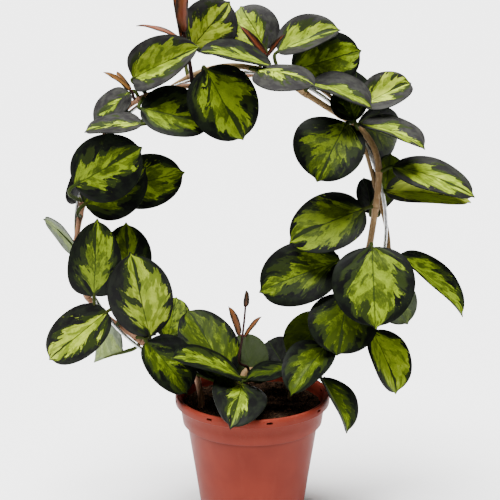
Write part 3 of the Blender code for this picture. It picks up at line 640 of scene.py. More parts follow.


# The leaves are listed here because the vines swell where each grows out: foot and tip as
# seen from the point EYE on the hoop's plane (x, z) with their real depth (y), and width, in
# mm, turn about the midrib and fold of the halves in degrees, arch, lean, where the blade is
# widest, the angle round the hoop of its root, how far the lime reaches, and how pale it is,
# which also paints light and shade on the leaf: higher for lit leaves, lower for shaded ones
EYE = Vector((-1.9, -1204.5, 555.8)) * MM
LEAVES = (
    ("top_a", (-89, 355, 5), (-40, 379, -16), 45, -22, 33, 0.01, 0.00, 0.40, 121, 0.48, 0.7),
    ("top_b", (-45, 378, 18), (-17, 412, 12), 42, 0, 6, 0.06, 0.00, 0.50, 105, 0.44, 0.9),
    ("top_c", (10, 376, 14), (-9, 409, 26), 38, 10, 6, 0.06, 0.00, 0.46, 78, 0.45, 0.8),
    ("top_d", (14, 364, -19), (-40, 376, -26), 44, 70, 14, 0.04, 0.00, 0.46, 77, 0.36, 0.55),
    ("top_e", (19, 375, 4), (65, 392, 6), 40, -41, 30, 0.03, 0.00, 0.46, 74, 0.32, 0.7),
    ("top_f", (30, 361, 15), (81, 376, 14), 44, -2, 8, 0.06, 0.00, 0.50, 62, 0.5, 0.3),
    ("top_g", (4, 361, -37), (47, 350, -59), 42, -60, 0, 0.05, -0.15, 0.46, 81, 0.06, 0.8),
    ("right_a", (44, 351, -10), (90, 333, -22), 42, -62, 17, 0.07, 0.00, 0.46, 63, 0.42, 0.65),
    ("right_b", (72, 334, 14), (78, 361, 40), 34, 20, 6, 0.05, 0.00, 0.46, 47, 0, 0.2),
    ("right_c", (82, 334, 5), (119, 352, 26), 34, -24, 28, 0.04, 0.00, 0.46, 44, 0.48, 0.95),
    ("right_d", (77, 323, -18), (69, 348, 5), 30, -1, 20, 0.04, 0.00, 0.46, 40, 0.3, 0.2),
    ("right_e", (82, 320, -5), (131, 302, -24), 43, -68, 17, 0.05, 0.00, 0.46, 41, 0.45, 0.7),
    ("right_f", (79, 320, 11), (110, 307, 42), 42, -6, 8, 0.05, 0.00, 0.46, 42, 0.28, 0.05),
    ("right_g", (71, 321, -9), (49, 276, -32), 55, 10, 6, 0.04, -0.14, 0.46, 43, 0.5, 0.3),
    ("right_h", (97, 251, 20), (105, 298, 25), 28, 24, 10, 0.04, 0.00, 0.66, 10, 0.7, 0),
    ("right_i", (107, 287, -8), (170, 265, -20), 46, -58, 8, 0.05, 0.00, 0.46, 23, 0.5, 0.65),
    ("right_j", (102, 268, 6), (167, 261, 0), 46, -60, 14, 0.03, 0.00, 0.40, 18, 1, 1.75),
    ("right_k", (90, 251, 16), (85, 279, 26), 30, 49, 8, 0.04, 0.00, 0.46, 12, 0, 0.1),
    ("right_l", (85, 254, -6), (28, 228, -14), 49, 26, 6, 0.05, 0.00, 0.46, 10, 0.66, 0.42),
    ("right_m", (68, 213, -4), (5, 188, -8), 50, 14, 6, 0.05, -0.05, 0.50, -12, 0.37, 0.24),
    ("right_n", (92, 224, -22), (96, 158, -48), 63, 0, 6, 0.04, 0.00, 0.46, -8, 0.46, 0.36),
    ("right_o", (113, 217, -10), (165, 169, -24), 40, -60, 27, 0.04, 0.00, 0.46, -8, 0.72, 0.36),
    ("right_p", (103, 196, -8), (121, 162, -10), 34, 180, 8, 0.04, 0.00, 0.46, -17, 0.5, 0.5),
    ("right_q", (93, 156, -2), (114, 104, -18), 44, -42, 22, 0.05, 0.00, 0.50, -34, 0.78, 0.62),
    ("right_r", (74, 186, -10), (66, 136, -32), 54, 0, 8, 0.05, 0.00, 0.50, -27, 0.55, 0.06),
    ("low_a", (60, 165, 14), (26, 139, 14), 36, 0, 8, 0.05, 0.00, 0.46, -40, 1, -0.12),
    ("low_b", (58, 143, -8), (30, 103, -41), 43, 27, 30, 0.05, 0.00, 0.46, -47, 0.42, 0.06),
    ("low_c", (54, 117, -16), (76, 71, -30), 42, -62, 25, 0.05, 0.00, 0.56, -58, 0.46, 0.08),
    ("low_d", (28, 122, 4), (12, 149, 44), 34, 0, 6, 0.04, 0.00, 0.46, -65, 0, 0.7),
    ("low_e", (0, 117, 5), (-10, 154, 31), 36, 2, 8, 0.04, 0.00, 0.46, -76, 1.3, -0.85),
    ("low_f", (30, 126, -14), (-5, 116, -22), 34, 64, 6, 0.04, 0.00, 0.46, -65, 0.22, -0.35),
    ("low_g", (-20, 117, -8), (-51, 174, 23), 46, 21, 8, 0.05, 0.00, 0.46, -97, 0.7, 0.05),
    ("low_h", (-10, 118, -19), (-63, 135, -38), 45, 67, 12, 0.05, 0.00, 0.46, -90, 0.5, 0.3),
    ("low_i", (-9, 113, -12), (-17, 76, -78), 44, -7, 8, 0.10, 0.00, 0.46, -79, 0.34, 0.6),
    ("low_j", (-83, 147, -15), (-51, 104, -25), 48, -34, 20, 0.05, 0.00, 0.46, -123, 0.36, 0.12),
    ("left_a", (-66, 150, 12), (-59, 184, 32), 30, 0, 8, 0.04, 0.00, 0.46, -118, 0.9, 0.3),
    ("left_b", (-80, 152, -9), (-94, 219, -31), 50, -3, 8, 0.05, 0.00, 0.56, -130, 0.52, 0.78),
    ("left_c", (-123, 185, -21), (-119, 246, -29), 42, -2, 10, 0.05, 0.00, 0.40, -149, 0.4, 0.38),
    ("left_d", (-95, 201, 9), (-97, 243, -6), 38, -7, 8, 0.05, 0.00, 0.46, -154, 0.45, 0.4),
    ("left_e", (-135, 273, -26), (-84, 302, -36), 50, 0, 8, 0.05, 0.00, 0.50, 168, 0.43, 0.38),
    ("left_f", (-128, 258, -18), (-81, 287, -16), 48, 0, 8, 0.05, 0.00, 0.46, 174, 0.35, 0.1),
    ("left_g", (-110, 269, 11), (-52, 283, 0), 42, 0, 8, 0.05, 0.00, 0.54, 167, 0.52, 0.35),
    ("left_h", (-133, 260, 13), (-128, 294, 3), 38, 48, 8, 0.05, 0.00, 0.46, 170, 0, 0.3),
    ("left_i", (-133, 220, -19), (-159, 247, 9), 26, 115, -7, 0.03, 0.00, 0.46, -169, 0.45, 0.6),
    ("left_j", (-113, 172, -20), (-160, 132, -16), 38, 3, 8, 0.05, -0.06, 0.46, -139, 0.55, 0.88),
    ("left_k", (-101.5, 138.5, 10), (-124, 131, 30), 56, 144, 56, 0.04, 0.00, 0.34, -128, 0.5, 0.66),
    ("left_l", (-92, 344, 8), (-119, 318, 5), 36, 54, 9, 0.04, 0.00, 0.46, 124, 0.06, 0.75),
    ("left_m", (-84, 320, -26), (-127, 315, -27), 34, 64, 10, 0.04, 0.00, 0.42, 130, 0.12, 0.8),
    ("top_h", (-84, 332, -13), (-32, 319, -11), 45, -23, 27, 0.04, 0.00, 0.46, 122, 0.4, 0.25),
    ("top_i", (-35, 362, -14), (-7, 308, -20), 52, 0, 8, 0.05, 0.00, 0.46, 100, 0.52, 0.42),
)


def seen_at(seen_x, seen_z, depth):
    # Out along the line of sight through the point on the hoop's plane, to its real depth
    on_plane = Vector((seen_x, 0, seen_z)) * MM
    return EYE + (on_plane - EYE) * ((depth * MM - EYE.y) / -EYE.y)


joints = {name: [] for name in VINES}
for row in LEAVES:
    vine, angle = nearest_vine(row[9], seen_at(*row[1]))
    joints[vine].append(angle)

for name, (foot, rise, first, last, _, thick, _) in VINES.items():
    step = VINE_STEP if last > first else -VINE_STEP
    clear_of_soil = Vector((foot[0], foot[1], VINE_CLEAR)) * MM
    onward = vine_point(name, first + math.copysign(VINE_LEAD, step))
    climb = [clear_of_soil, Vector(rise) * MM, vine_point(name, first), onward]
    # The last stretch only gives the climb its heading, so it is left off again
    line = [Vector(foot) * MM] + smooth_path(climb, CLIMB_STEPS)[:-(CLIMB_STEPS + 1)]
    radii = [thick * FOOT_SWELL] * len(line)
    for k in range(round((last - first) / step) + 1):
        angle = first + k * step
        swell = sum(math.exp(-((angle - joint) / JOINT_SPAN) ** 2) for joint in joints[name])
        line.append(vine_point(name, angle))
        radii.append(vine_radius(name, angle) * (1 + JOINT_SWELL * min(swell, 1)))
    stem = rod(line, radii, 3, name + "_stem")
    # Near each joint the mesh is marked, for the bark to darken and roughen there
    knots = [(vine_point(name, joint), vine_heading(name, joint)) for joint in joints[name]]
    mark = stem.data.attributes.new(name="joint", type="FLOAT", domain="POINT")
    for vertex, near in zip(stem.data.vertices, mark.data):
        for knot, along in knots:
            if (vertex.co - knot).length < SCAR_NEAR:
                away = (vertex.co - knot).dot(along)
                near.value = max(near.value, math.exp(-(away / SCAR_REACH) ** 2))
    settle(stem, name + "_stem", bark_finish(name + "_bark", *VINE_BARKS[name]))
    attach(stem, "root")
    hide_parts(name)


# Leaves. Each is one thick waxy blade on a stout green stalk that carries on under it as a
# midrib. The margin is a green near to black and the centre is lime, feathered along the
# side veins. Every leaf is drawn from its own measured row, and grows out of its vine.
BLADE_ROWS = 40
BLADE_COLUMNS = 22
BLADE_THICKNESS = 1.25 * MM
BLADE_SMOOTH = math.radians(60)
EDGE_SHARE = 0.5
ROUND_END = 0.965
ROUNDNESS = 0.48
POINT_TAPER = 2.6
POINT_SHARE = 0.2
POINT_HALF = 0.3 * MM
CREASE_ROUND = 0.012
CREASE_DROP = 0.11
CREASE_SPAN = 0.897
EDGE_CURL = 0.05
EDGE_WAVE = 0.5 * MM
WAVE_COUNT = 9
WAVE_SHIFT = 2.2
QUILT_HEIGHT = 0.22 * MM
QUILT_COUNT = 26
QUILT_SLANT = 0.4
TIP_DROOP = 0.03
DROOP_START = 0.8
DROOP_SPAN = 0.2
STALK_RADIUS = 1.4
STALK_SUNK = 1.2
STALK_STEPS = 14
STALK_REACH = 0.42
STALK_RISE = 0.4
STALK_FLARE = 0.25
RIB_STEPS = 13
RIB_STEP = 0.055
RIB_SHARE = 0.8
RIB_FINE = 0.12
LEAF_SEED = 23
PHASES = 6.3
# The leaf attribute holds nothing below nought, so a leaf's paleness and painted light goes in
# raised and scaled
PAINTED_LIGHT_LOW = 1
PAINTED_LIGHT_SPAN = 3
# Where the lime reaches further on one half: above nought on the left, looking to the tip
LIME_TILTS = {
    "top_a": 0.3, "top_c": 0.7, "top_d": 0.7, "top_e": 0.3, "top_h": -0.4, "top_i": 0.2,
    "right_a": -0.6, "right_c": 0.45, "right_e": -0.7, "right_i": -0.4, "right_n": 0.25,
    "right_o": -0.3, "low_j": -0.5, "left_b": -0.75, "left_c": -0.15,
}
LIME_TILT_REACH = 0.36
VEIN_SLANT = 0.42
# Heights over which the painted sheen on the leaf margins grows, stronger on the upper leaves
PAINTED_SHEEN_START = 200 * MM
PAINTED_SHEEN_FULL = 330 * MM
STALK_GREEN = (0.018, 0.032, 0.0035)
STALK_OLIVE = (0.030, 0.036, 0.0050)
STALK_SCURF = (0.030, 0.036, 0.009)


def blade_width(u, widest):
    # Nearly an ellipse, drawn out at the tip into a short point
    bend = math.log(0.5) / math.log(widest)
    q = min(max(u / ROUND_END, 0.0), 1.0) ** bend
    return max(max(4 * q * (1 - q), 0.0) ** ROUNDNESS, min(POINT_TAPER * (1 - u), POINT_SHARE))


def blade_axes(foot, tip, turn):
    # Along the midrib, to the left and out of the face, which is turned from square to EYE
    along = (tip - foot).normalized()
    toward = EYE - (foot + tip) / 2
    face = (toward - toward.dot(along) * along).normalized()
    left = face.cross(along)
    cos, sin = math.cos(math.radians(turn)), math.sin(math.radians(turn))
    return along, left * cos + face * sin, face * cos - left * sin


def blade_point(shape, u, v):
    # Where the blade's middle layer runs, u along the midrib and v from edge to edge
    foot, axes, length, width, fold, arch, lean, widest, phase = shape
    along, left, face = axes
    half = max(width / 2 * blade_width(u, widest), POINT_HALF)
    half *= 1 + lean * (1 if v > 0 else -1)
    crease = (math.sqrt(v * v + CREASE_ROUND) - CREASE_DROP) / CREASE_SPAN
    rise = half * math.sin(math.radians(fold)) * crease
    curl = -EDGE_CURL * half * v ** 4
    shift = WAVE_SHIFT if v > 0 else 0
    wave = EDGE_WAVE * abs(v) ** 3 * math.sin(WAVE_COUNT * u + phase + shift)
    quilt = QUILT_HEIGHT * math.sin(QUILT_COUNT * (u - QUILT_SLANT * abs(v)) + phase)
    quilt *= (1 - v * v) * min(abs(v) * 4, 1)
    droop = -TIP_DROOP * length * max(0, (u - DROOP_START) / DROOP_SPAN) ** 2
    middle = foot + along * (length * u) + face * (arch * length * 4 * u * (1 - u) + droop)
    sideways = left * (half * v * math.cos(math.radians(fold)))
    return middle + sideways + face * (rise + curl + wave + quilt)


def blade(shape, thickness, finishes, name):
    # A grid is laid out as the blade, keeps u and v as its UV map, and is given thickness
    let_go()
    bpy.ops.mesh.primitive_grid_add(
        x_subdivisions=BLADE_ROWS, y_subdivisions=BLADE_COLUMNS, size=2)
    piece = bpy.context.object
    mesh = piece.data
    spread = []
    for vertex in mesh.vertices:
        u = (1 - math.cos(math.pi * (vertex.co.x + 1) / 2)) / 2
        v = math.sin(math.pi / 2 * vertex.co.y) * 0.5 + vertex.co.y * 0.5
        spread.append((u, v))
    layer = mesh.uv_layers[0]
    layer.name = "blade"
    for loop in mesh.loops:
        u, v = spread[loop.vertex_index]
        layer.data[loop.index].uv = (u, v / 2 + 0.5)
    thick = piece.vertex_groups.new(name="thick")
    for vertex, (u, v) in zip(mesh.vertices, spread):
        vertex.co = blade_point(shape, u, v)
        thick.add([vertex.index], 1 - max(abs(v) ** 4, u ** 8), "REPLACE")
    for finish in finishes:
        mesh.materials.append(finish.material)
    body = piece.modifiers.new("body", "SOLIDIFY")
    body.thickness = thickness
    body.offset = 0
    body.vertex_group = "thick"
    body.thickness_vertex_group = EDGE_SHARE
    body.material_offset = 1
    body.material_offset_rim = 0
    bpy.ops.object.modifier_apply(modifier="body")
    bpy.ops.object.shade_smooth_by_angle(angle=BLADE_SMOOTH)
    piece.name = name
    return piece


def stalk_line(root, out, foot, axes):
    # Square out of the vine and round into the blade, in one bend
    along = axes[0]
    reach = (foot - root).length * STALK_REACH
    a = root - out * STALK_SUNK * MM
    b = root + out * reach
    c = foot - along * reach
    d = foot
    line = []
    for i in range(STALK_STEPS + 1):
        t = i / STALK_STEPS
        s = 1 - t
        line.append(a * s ** 3 + b * (3 * s * s * t) + c * (3 * s * t * t) + d * t ** 3)
    return line


def marking(finish, u, v, seed, share, tilt):
    # The lime centre, its paler and darker patches and the green beyond it. Their edges
    # are drawn out into teeth along the side veins, and differ on the two halves. Some
    # leaves also have a green tongue that runs in from the tip on one half
    side = finish.maths("SIGN", v)
    across = abs(v)
    vein = u - across * VEIN_SLANT
    far = seed * 40.0

    def veined(closeness, spread, halves, layer, detail, rough=0.55):
        place = finish.vector(vein * closeness + far, across * spread, side * halves + layer)
        return finish.cloud(place, 1.0, detail, rough)

    lobe = veined(4.2, 1.3, 2.0, far, 1.0)
    block = veined(11, 4.0, 3.0, 0 - far, 1.0)
    feather = veined(24, 5.0, 5.0, 0 - far, 3.0, 0.6)
    fringe = veined(75, 16.0, 9.0, far, 2.0)
    teeth = finish.maths("FRACT", vein * 6.0 + lobe * 3.0 + seed * 7.0)
    swell = finish.ease(u, -0.08, 0.30) * (1 - 0.30 * finish.ease(u, 0.70, 0.98))
    ragged = (block - 0.5) * 0.42 + (feather - 0.5) * 0.34 + (fringe - 0.5) * 0.16
    bare = 1 - finish.ease(share, 0.0, 0.05)
    edge = share * swell * 1.06 + (lobe - 0.5) * 1.45 + (teeth - 0.5) * 0.14 + ragged - bare
    edge = edge + side * tilt * LIME_TILT_REACH
    tongue_side = finish.ease(side * (finish.maths("FRACT", seed * 13.0) - 0.5), -0.001, 0.001)
    tongue = finish.ease(u, 0.42, 0.80) * 0.30 * finish.maths("FRACT", seed * 31.0) * tongue_side
    tongue = tongue + (block - 0.5) * 0.10 + (feather - 0.5) * 0.10
    inside = finish.ease(edge - across, -0.010, 0.014)
    inside = inside * finish.ease(across - tongue, -0.010, 0.012)
    island = finish.ease(feather * 0.55 + fringe * 0.45, 0.60, 0.62)
    island = island * finish.ease(edge + 0.16 - across, 0.0, 0.06)
    clear = finish.clamp(inside + island * 0.9)
    shift = veined(5, 2.2, 4.0, far + 9, 2.0)
    near = finish.ease(edge + 0.15 + (shift - 0.45) * 1.6 - across, -0.02, 0.05)
    near = near * (1 - finish.ease(across + (block - 0.5) * 0.3, 0.72, 0.88))
    patch = finish.ease(shift * 0.6 + block * 0.4, 0.50, 0.54)
    flecks = finish.ease(feather * 0.4 + fringe * 0.6, 0.60, 0.64)
    return clear, near, patch, flecks, vein, across, far


def leaf_finish(name, underside):
    # The upper side is waxy and strongly marked, the under side duller and greyer. The leaf
    # attribute gives each leaf its seed, the reach of its lime, its paleness with painted light and
    # shade, and its tilt
    leaf = Finish(name, Specular_IOR_Level=0.05)
    uv = leaf.node("ShaderNodeUVMap", {"uv_map": "blade"})
    u, v = leaf.node("ShaderNodeSeparateXYZ", {}, {0: uv}, output=(0, 1))
    v = v * 2 - 1
    kind, tilt = leaf.node("ShaderNodeAttribute", {"attribute_name": "leaf"}, {},
                           output=("Color", "Alpha"))
    seed, share, paleness_and_painted_light = leaf.node("ShaderNodeSeparateColor", {}, {0: kind}, output=(0, 1, 2))
    paleness_and_painted_light = paleness_and_painted_light * PAINTED_LIGHT_SPAN - PAINTED_LIGHT_LOW
    tilt = tilt * 2 - 1
    clear, near, patch, flecks, vein, across, far = marking(leaf, u, v, seed, share, tilt)
    mottle = leaf.cloud(leaf.vector(u * 6 + far, v * 3.5, far), 1.0, 4.0, 0.6)
    net = leaf.cloud(leaf.vector(vein * 34, across * 7, far), 1.0, 2.0)
    if underside:
        lime_deep, lime_mid = (0.040, 0.058, 0.016), (0.12, 0.16, 0.045)
        lime_pale, olive = (0.28, 0.34, 0.14), (0.026, 0.038, 0.012)
        rib_green, rim_green = (0.07, 0.105, 0.03), (0.018, 0.025, 0.012)
        dullness = 0.50
        # Partly the under side's own grey, partly painted light: its greens turn paler grey on
        # leaves given more light
        painted_sheen = leaf.ease(paleness_and_painted_light, 0.3, 0.95)
        mid = leaf.mix(painted_sheen, (0.032, 0.045, 0.018), (0.21, 0.25, 0.16))
        dark = leaf.mix(painted_sheen, (0.020, 0.028, 0.012), (0.13, 0.15, 0.11))
        deep = leaf.mix(painted_sheen, (0.026, 0.038, 0.015), (0.24, 0.27, 0.21))
    else:
        lime_deep, lime_mid = (0.036, 0.056, 0.0030), (0.165, 0.235, 0.0090)
        lime_pale, olive = (0.37, 0.45, 0.040), (0.013, 0.022, 0.0022)
        rib_green, rim_green = (0.016, 0.028, 0.004), (0.003, 0.0045, 0.002)
        dullness = 0.40
        # Painted sheen: on leaves given much light, and more on the higher ones, the near-black
        # margin is greyed as if it reflected the bright room
        height = leaf.node("ShaderNodeSeparateXYZ", {}, {0: leaf.place()}, output=2)
        painted_sheen = leaf.ease(height, PAINTED_SHEEN_START, PAINTED_SHEEN_FULL) * 0.8 + 0.2
        painted_sheen = painted_sheen * leaf.ease(paleness_and_painted_light, 0.42, 0.72)
        mid = (0.018, 0.028, 0.0046)
        dark = leaf.mix(painted_sheen, (0.0026, 0.0029, 0.0026), (0.0170, 0.0160, 0.0160))
        deep = leaf.mix(painted_sheen, (0.0055, 0.0080, 0.0040), (0.0300, 0.0300, 0.0265))
    grit = leaf.cloud(leaf.vector(u * 38 + far, v * 24, far), 1.0, 3.0, 0.7)
    # Painted light and shade: the leaf's given light makes its lime paler where lit and darker, down
    # to olive, where shaded; the noise adds its own uneven tone
    tone_with_painted_light = paleness_and_painted_light + (mottle - 0.5) * 1.3 + (grit - 0.5) * 0.7 - patch * 0.22 + 0.06
    centre = leaf.mix(leaf.ease(tone_with_painted_light, -0.75, -0.1), olive, lime_deep)
    centre = leaf.mix(leaf.ease(tone_with_painted_light, 0.0, 0.62), centre, lime_mid)
    centre = leaf.mix(leaf.ease(tone_with_painted_light, 0.55, 1.25), centre, lime_pale)
    centre = leaf.mix(patch * 0.35, centre, mid)
    centre = leaf.mix(flecks * 0.45, centre, mid)
    veining = leaf.ease(net, 0.55, 0.75) * leaf.ease(tone_with_painted_light, -0.2, 0.4)
    centre = leaf.mix(veining * 0.15, centre, lime_pale)
    margin = leaf.mix(leaf.ease(mottle, 0.40, 0.62), dark, deep)
    margin = leaf.mix(near * 0.80, margin, mid)
    colour = leaf.mix(clear, margin, centre)
    rib = 1 - leaf.ease(across, 0.010, 0.030)
    colour = leaf.mix(rib * 0.7, colour, rib_green)
    rim = leaf.ease(across, 0.955, 0.985)
    leaf.wear("Base Color", leaf.mix(rim * 0.8, colour, rim_green))
    leaf.wear("Roughness", dullness + mottle * 0.14 - clear * 0.02)
    ribs = leaf.maths("SINE", vein * 62)
    relief = mottle * 0.5 + ribs * 0.08 + leaf.ease(across, 0.0, 0.05) * 0.7 + net * 0.12
    leaf.wear("Normal", leaf.bump(relief, 0.35, 0.5 * MM))
    return leaf


leaf_top = leaf_finish("leaf_upper_side", False)
leaf_under = leaf_finish("leaf_under_side", True)
leaf_stalk = Finish("leaf_stalk", Roughness=0.6, Specular_IOR_Level=0.05)
spot = leaf_stalk.place()
flush = leaf_stalk.cloud(spot, 70, 2)
scurf = leaf_stalk.cloud(spot, 1100, 3)
colour = leaf_stalk.mix(leaf_stalk.ease(flush, 0.35, 0.7), STALK_GREEN, STALK_OLIVE)
leaf_stalk.wear("Base Color", leaf_stalk.mix(scurf * 0.3, colour, STALK_SCURF))
leaf_stalk.wear("Normal", leaf_stalk.bump(scurf, 0.3, 0.2 * MM))


def write_kind(piece, kind):
    # The four values that the finishes read from the leaf attribute
    mark = piece.data.color_attributes.new(name="leaf", type="FLOAT_COLOR", domain="POINT")
    for point in mark.data:
        point.color = kind


def grow(name, shape, thickness, line, radii, kind, finishes):
    # The blade and its stalk become one piece
    piece = blade(shape, thickness, finishes[:2], name)
    stalk = rod(line, radii, 2, name + "_stalk")
    stalk.data.materials.append(finishes[2].material)
    write_kind(piece, kind)
    write_kind(stalk, kind)
    while stalk.data.uv_layers:
        stalk.data.uv_layers.remove(stalk.data.uv_layers[0])
    stalk.data.uv_layers.new(name="blade")
    return joined([piece, stalk])


# The root sits on the bark, square to the vine's heading, and the stalk carries on under
# the blade as a midrib that thins away
draw = random.Random(LEAF_SEED)
for name, seen_foot, seen_tip, width, turn, fold, arch, lean, widest, angle, share, paleness_and_painted_light in LEAVES:
    foot, tip = seen_at(*seen_foot), seen_at(*seen_tip)
    axes = blade_axes(foot, tip, turn)
    length = (tip - foot).length
    vine, angle = nearest_vine(angle, foot)
    toward = foot - axes[0] * (foot - vine_point(vine, angle)).length * STALK_RISE
    root, out = root_on(vine, angle, toward)
    shape = (foot, axes, length, width * MM, fold, arch, lean, widest, draw.uniform(0, PHASES))
    line = stalk_line(root, out, foot, axes)
    radii = []
    for i in range(len(line)):
        radii.append(STALK_RADIUS * (1 + STALK_FLARE - STALK_FLARE * min(i / 4, 1)))
    for k in range(1, RIB_STEPS):
        below = BLADE_THICKNESS * (0.25 + 0.3 * min(k / 4, 1))
        line.append(blade_point(shape, k * RIB_STEP, 0) - axes[2] * below)
        radii.append(STALK_RADIUS * (1 - k / RIB_STEPS) ** 0.7 * RIB_SHARE + RIB_FINE)
    tilt = LIME_TILTS.get(name, 0)
    # The third value carries the leaf's paleness together with its painted light and shade
    kind = (draw.random(), share, (paleness_and_painted_light + PAINTED_LIGHT_LOW) / PAINTED_LIGHT_SPAN, (tilt + 1) / 2)
    leaf = grow("hoya_leaf_" + name, shape, BLADE_THICKNESS, line, radii, kind,
                (leaf_top, leaf_under, leaf_stalk))
    settle(leaf, "hoya_leaf_" + name)
    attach(leaf, "root")
    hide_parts("leaf_" + name)


# Young shoots. Four soft new shoots, copper-red with small pointed leaves, grown out of the
# vines. Each stem and its leaves are one growth.
SHOOT_STEPS = 8
SHOOT_FLARE = 1.15
SHOOT_TAPER = 0.35
STEM_DUSK = 0.4
YOUNG_THICKNESS = 0.9 * MM
YOUNG_ARCH = 0.06
YOUNG_WIDEST = 0.42
YOUNG_STALK = 0.8
YOUNG_RIB_STEPS = 11
YOUNG_RIB_STEP = 0.07
YOUNG_DOWN = (0.08, 0.045, 0.02)
# The vine, the angle of the root round the hoop, the stem's points, given as the leaves'
# feet are, and its radius, then each young leaf: foot, tip, width, turn, fold and duskiness
SHOOTS = {
    "shoot_top": (
        "vine_left", -256, ((-51.5, 391, -4), (-51, 396, -5)), 1.5,
        (((-53.5, 386, -4), (-60, 424, -2), 6, 30, 24, 0.45),
         ((-50.5, 390, -6), (-49, 433, -10), 12, -30, 24, 0.4),
         ((-53, 384, -2), (-86, 395, 4), 6, 60, 20, 0.35)),
    ),
    "shoot_left": (
        "vine_left", -235, ((-90, 344, -4), (-92.5, 347, -5)), 1.2,
        (((-92, 346, -5), (-111, 360, -8), 5, 46, 20, 0.3),
         ((-91.5, 346.5, -4), (-101.5, 360, 2), 6, -20, 20, 0.3)),
    ),
    "shoot_crown": (
        "vine_right", 78, ((10.5, 371, 3), (11, 373, 2)), 1.2,
        (((10, 372, 2), (-9, 394, -1), 6.5, 20, 20, 0.55),
         ((11.5, 372, 1), (24, 388, -9), 4.5, -30, 20, 0.7)),
    ),
    "shoot_centre": (
        "vine_right", -83, ((-10.5, 131, -18), (-8, 150, -20), (-6, 169, -20),
                            (-5.4, 178, -19)), 1.0,
        (((-10.5, 153, -20), (-18.2, 176, -22), 7, 30, 20, 0.5),
         ((-5.5, 151.5, -20), (6.7, 168, -16), 5, -40, 20, 0.65),
         ((-5.5, 176, -19), (-4.6, 189, -18), 5, 20, 20, 0.95)),
    ),
}
SHOOT_TANS = {"shoot_top": 0.25, "shoot_left": 0.9, "shoot_crown": 0.1, "shoot_centre": 0.6}


def young_finish(name, red, tan, border):
    # Red turning tan, dusky towards the edge
    young = Finish(name, Roughness=0.42, Specular_IOR_Level=0.15)
    uv = young.node("ShaderNodeUVMap", {"uv_map": "blade"})
    across = abs(young.node("ShaderNodeSeparateXYZ", {}, {0: uv}, output=1) * 2 - 1)
    spot = young.place()
    patch = young.cloud(spot, 130, 3)
    down = young.cloud(spot, 1500, 2)
    kind = young.node("ShaderNodeAttribute", {"attribute_name": "leaf"})
    dusk, tanned = young.node("ShaderNodeSeparateColor", {}, {0: kind}, output=(1, 2))
    turning = young.clamp(tanned + (patch - 0.5) * 0.9)
    colour = young.mix(turning, red, tan)
    colour = young.mix(down * 0.25, colour, YOUNG_DOWN)
    dusky = across + (patch - 0.5) * 1.1 + dusk
    young.wear("Base Color", young.mix(young.ease(dusky, 0.78, 1.30) * 0.94, colour, border))
    young.wear("Roughness", 0.38 + patch * 0.15)
    young.wear("Normal", young.bump(patch * 0.5 + down * 0.5, 0.3, 0.3 * MM))
    return young


young_top = young_finish(
    "young_leaf_upper", (0.135, 0.024, 0.010), (0.165, 0.075, 0.018), (0.0085, 0.0070, 0.0045))
young_under = young_finish(
    "young_leaf_under", (0.110, 0.028, 0.014), (0.155, 0.085, 0.030), (0.0130, 0.0105, 0.0070))
young_stem = young_finish(
    "young_stem", (0.030, 0.005, 0.007), (0.150, 0.050, 0.028), (0.020, 0.005, 0.006))
for name, (vine, angle, stem, radius, blades) in SHOOTS.items():
    stem_points = [seen_at(*point) for point in stem]
    root, out = root_on(vine, angle, stem_points[0])
    route = [root, root + out * (stem_points[0] - root).length * STALK_RISE] + stem_points
    line = smooth_path(route, SHOOT_STEPS)
    girth = [radius * (SHOOT_FLARE - SHOOT_TAPER * i / len(line)) for i in range(len(line))]
    made = [rod(line, girth, 2, name)]
    made[0].data.materials.append(young_stem.material)
    write_kind(made[0], (0, STEM_DUSK, SHOOT_TANS[name] ** 3, 1))
    for i, (seen_foot, seen_tip, width, turn, fold, dusk) in enumerate(blades):
        foot, tip = seen_at(*seen_foot), seen_at(*seen_tip)
        axes = blade_axes(foot, tip, turn)
        near = min(line, key=lambda point: (point - foot).length)
        shape = (foot, axes, (tip - foot).length, width * MM, fold, YOUNG_ARCH, 0, YOUNG_WIDEST,
                 draw.uniform(0, PHASES))
        stalk = [near.lerp(foot, k / 4) for k in range(5)]
        girth = [YOUNG_STALK] * len(stalk)
        for k in range(1, YOUNG_RIB_STEPS):
            under = blade_point(shape, k * YOUNG_RIB_STEP, 0) - axes[2] * YOUNG_THICKNESS * 0.5
            stalk.append(under)
            girth.append(YOUNG_STALK * (1 - k / YOUNG_RIB_STEPS) + RIB_FINE)
        kind = (draw.random(), dusk, SHOOT_TANS[name], 1)
        made.append(grow(f"{name}_{i}", shape, YOUNG_THICKNESS, stalk, girth, kind,
                         (young_top, young_under, young_stem)))
    shoot = settle(joined(made[::-1]), "young_" + name)
    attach(shoot, "root")
    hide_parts(name)


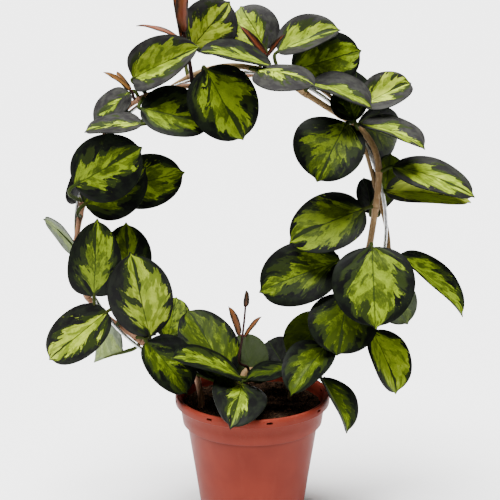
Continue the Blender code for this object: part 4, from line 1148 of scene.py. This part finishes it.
# Floor, light and camera. The plant stands on a plain white sweep under a broad soft light
# from above, and is seen from a little above its middle.
SWEEP_SIZE = 8
SWEEP_PLACE = (0, 3.55, 0)
SWEEP_WHITE = (0.91, 0.91, 0.91)
SWEEP_WHITER = (0.94, 0.94, 0.94)
SUN_PLACE = (-1, -1.5, 3)
SUN_TURN = (math.radians(12), math.radians(-8), 0)
SUN_STRENGTH = 15
SUN_SPREAD = math.radians(45)
ROOM_LIGHT = 0.1
ROOM_PALENESS = 4.2
CAMERA_TURN = (math.radians(74.5), 0, 0)
CAMERA_LENS = 116.88
CAMERA_SENSOR = 36

let_go()
bpy.ops.mesh.primitive_plane_add(size=SWEEP_SIZE, location=SWEEP_PLACE)
floor = bpy.context.object
sweep = Finish("white_sweep", Roughness=0.9, Specular_IOR_Level=0.1)
spot = sweep.place()
weave = sweep.cloud(spot, 300, 2)
sweep.wear("Base Color", sweep.mix(weave, SWEEP_WHITE, SWEEP_WHITER))
settle(floor, "floor", sweep)

let_go()
bpy.ops.object.light_add(type="SUN", location=SUN_PLACE)
sun = bpy.context.object
sun.data.energy = SUN_STRENGTH
sun.data.angle = SUN_SPREAD
sun.rotation_euler = SUN_TURN
# The room gives a weak even light, and past the sweep's edge it looks as pale as the sweep
world = bpy.data.worlds.new("studio")
world.use_nodes = True
room = world.node_tree.nodes["Background"]
room.inputs["Color"].default_value = (1, 1, 1, 1)
looked_at = world.node_tree.nodes.new("ShaderNodeLightPath")
strength = world.node_tree.nodes.new("ShaderNodeMapRange")
strength.inputs["To Min"].default_value = ROOM_LIGHT
strength.inputs["To Max"].default_value = ROOM_PALENESS
world.node_tree.links.new(looked_at.outputs["Is Camera Ray"], strength.inputs["Value"])
world.node_tree.links.new(strength.outputs["Result"], room.inputs["Strength"])
bpy.context.scene.world = world

let_go()
bpy.ops.object.camera_add(location=EYE, rotation=CAMERA_TURN)
camera = bpy.context.object
camera.data.lens = CAMERA_LENS
camera.data.sensor_width = CAMERA_SENSOR
camera.data.dof.use_dof = False
bpy.context.scene.camera = camera
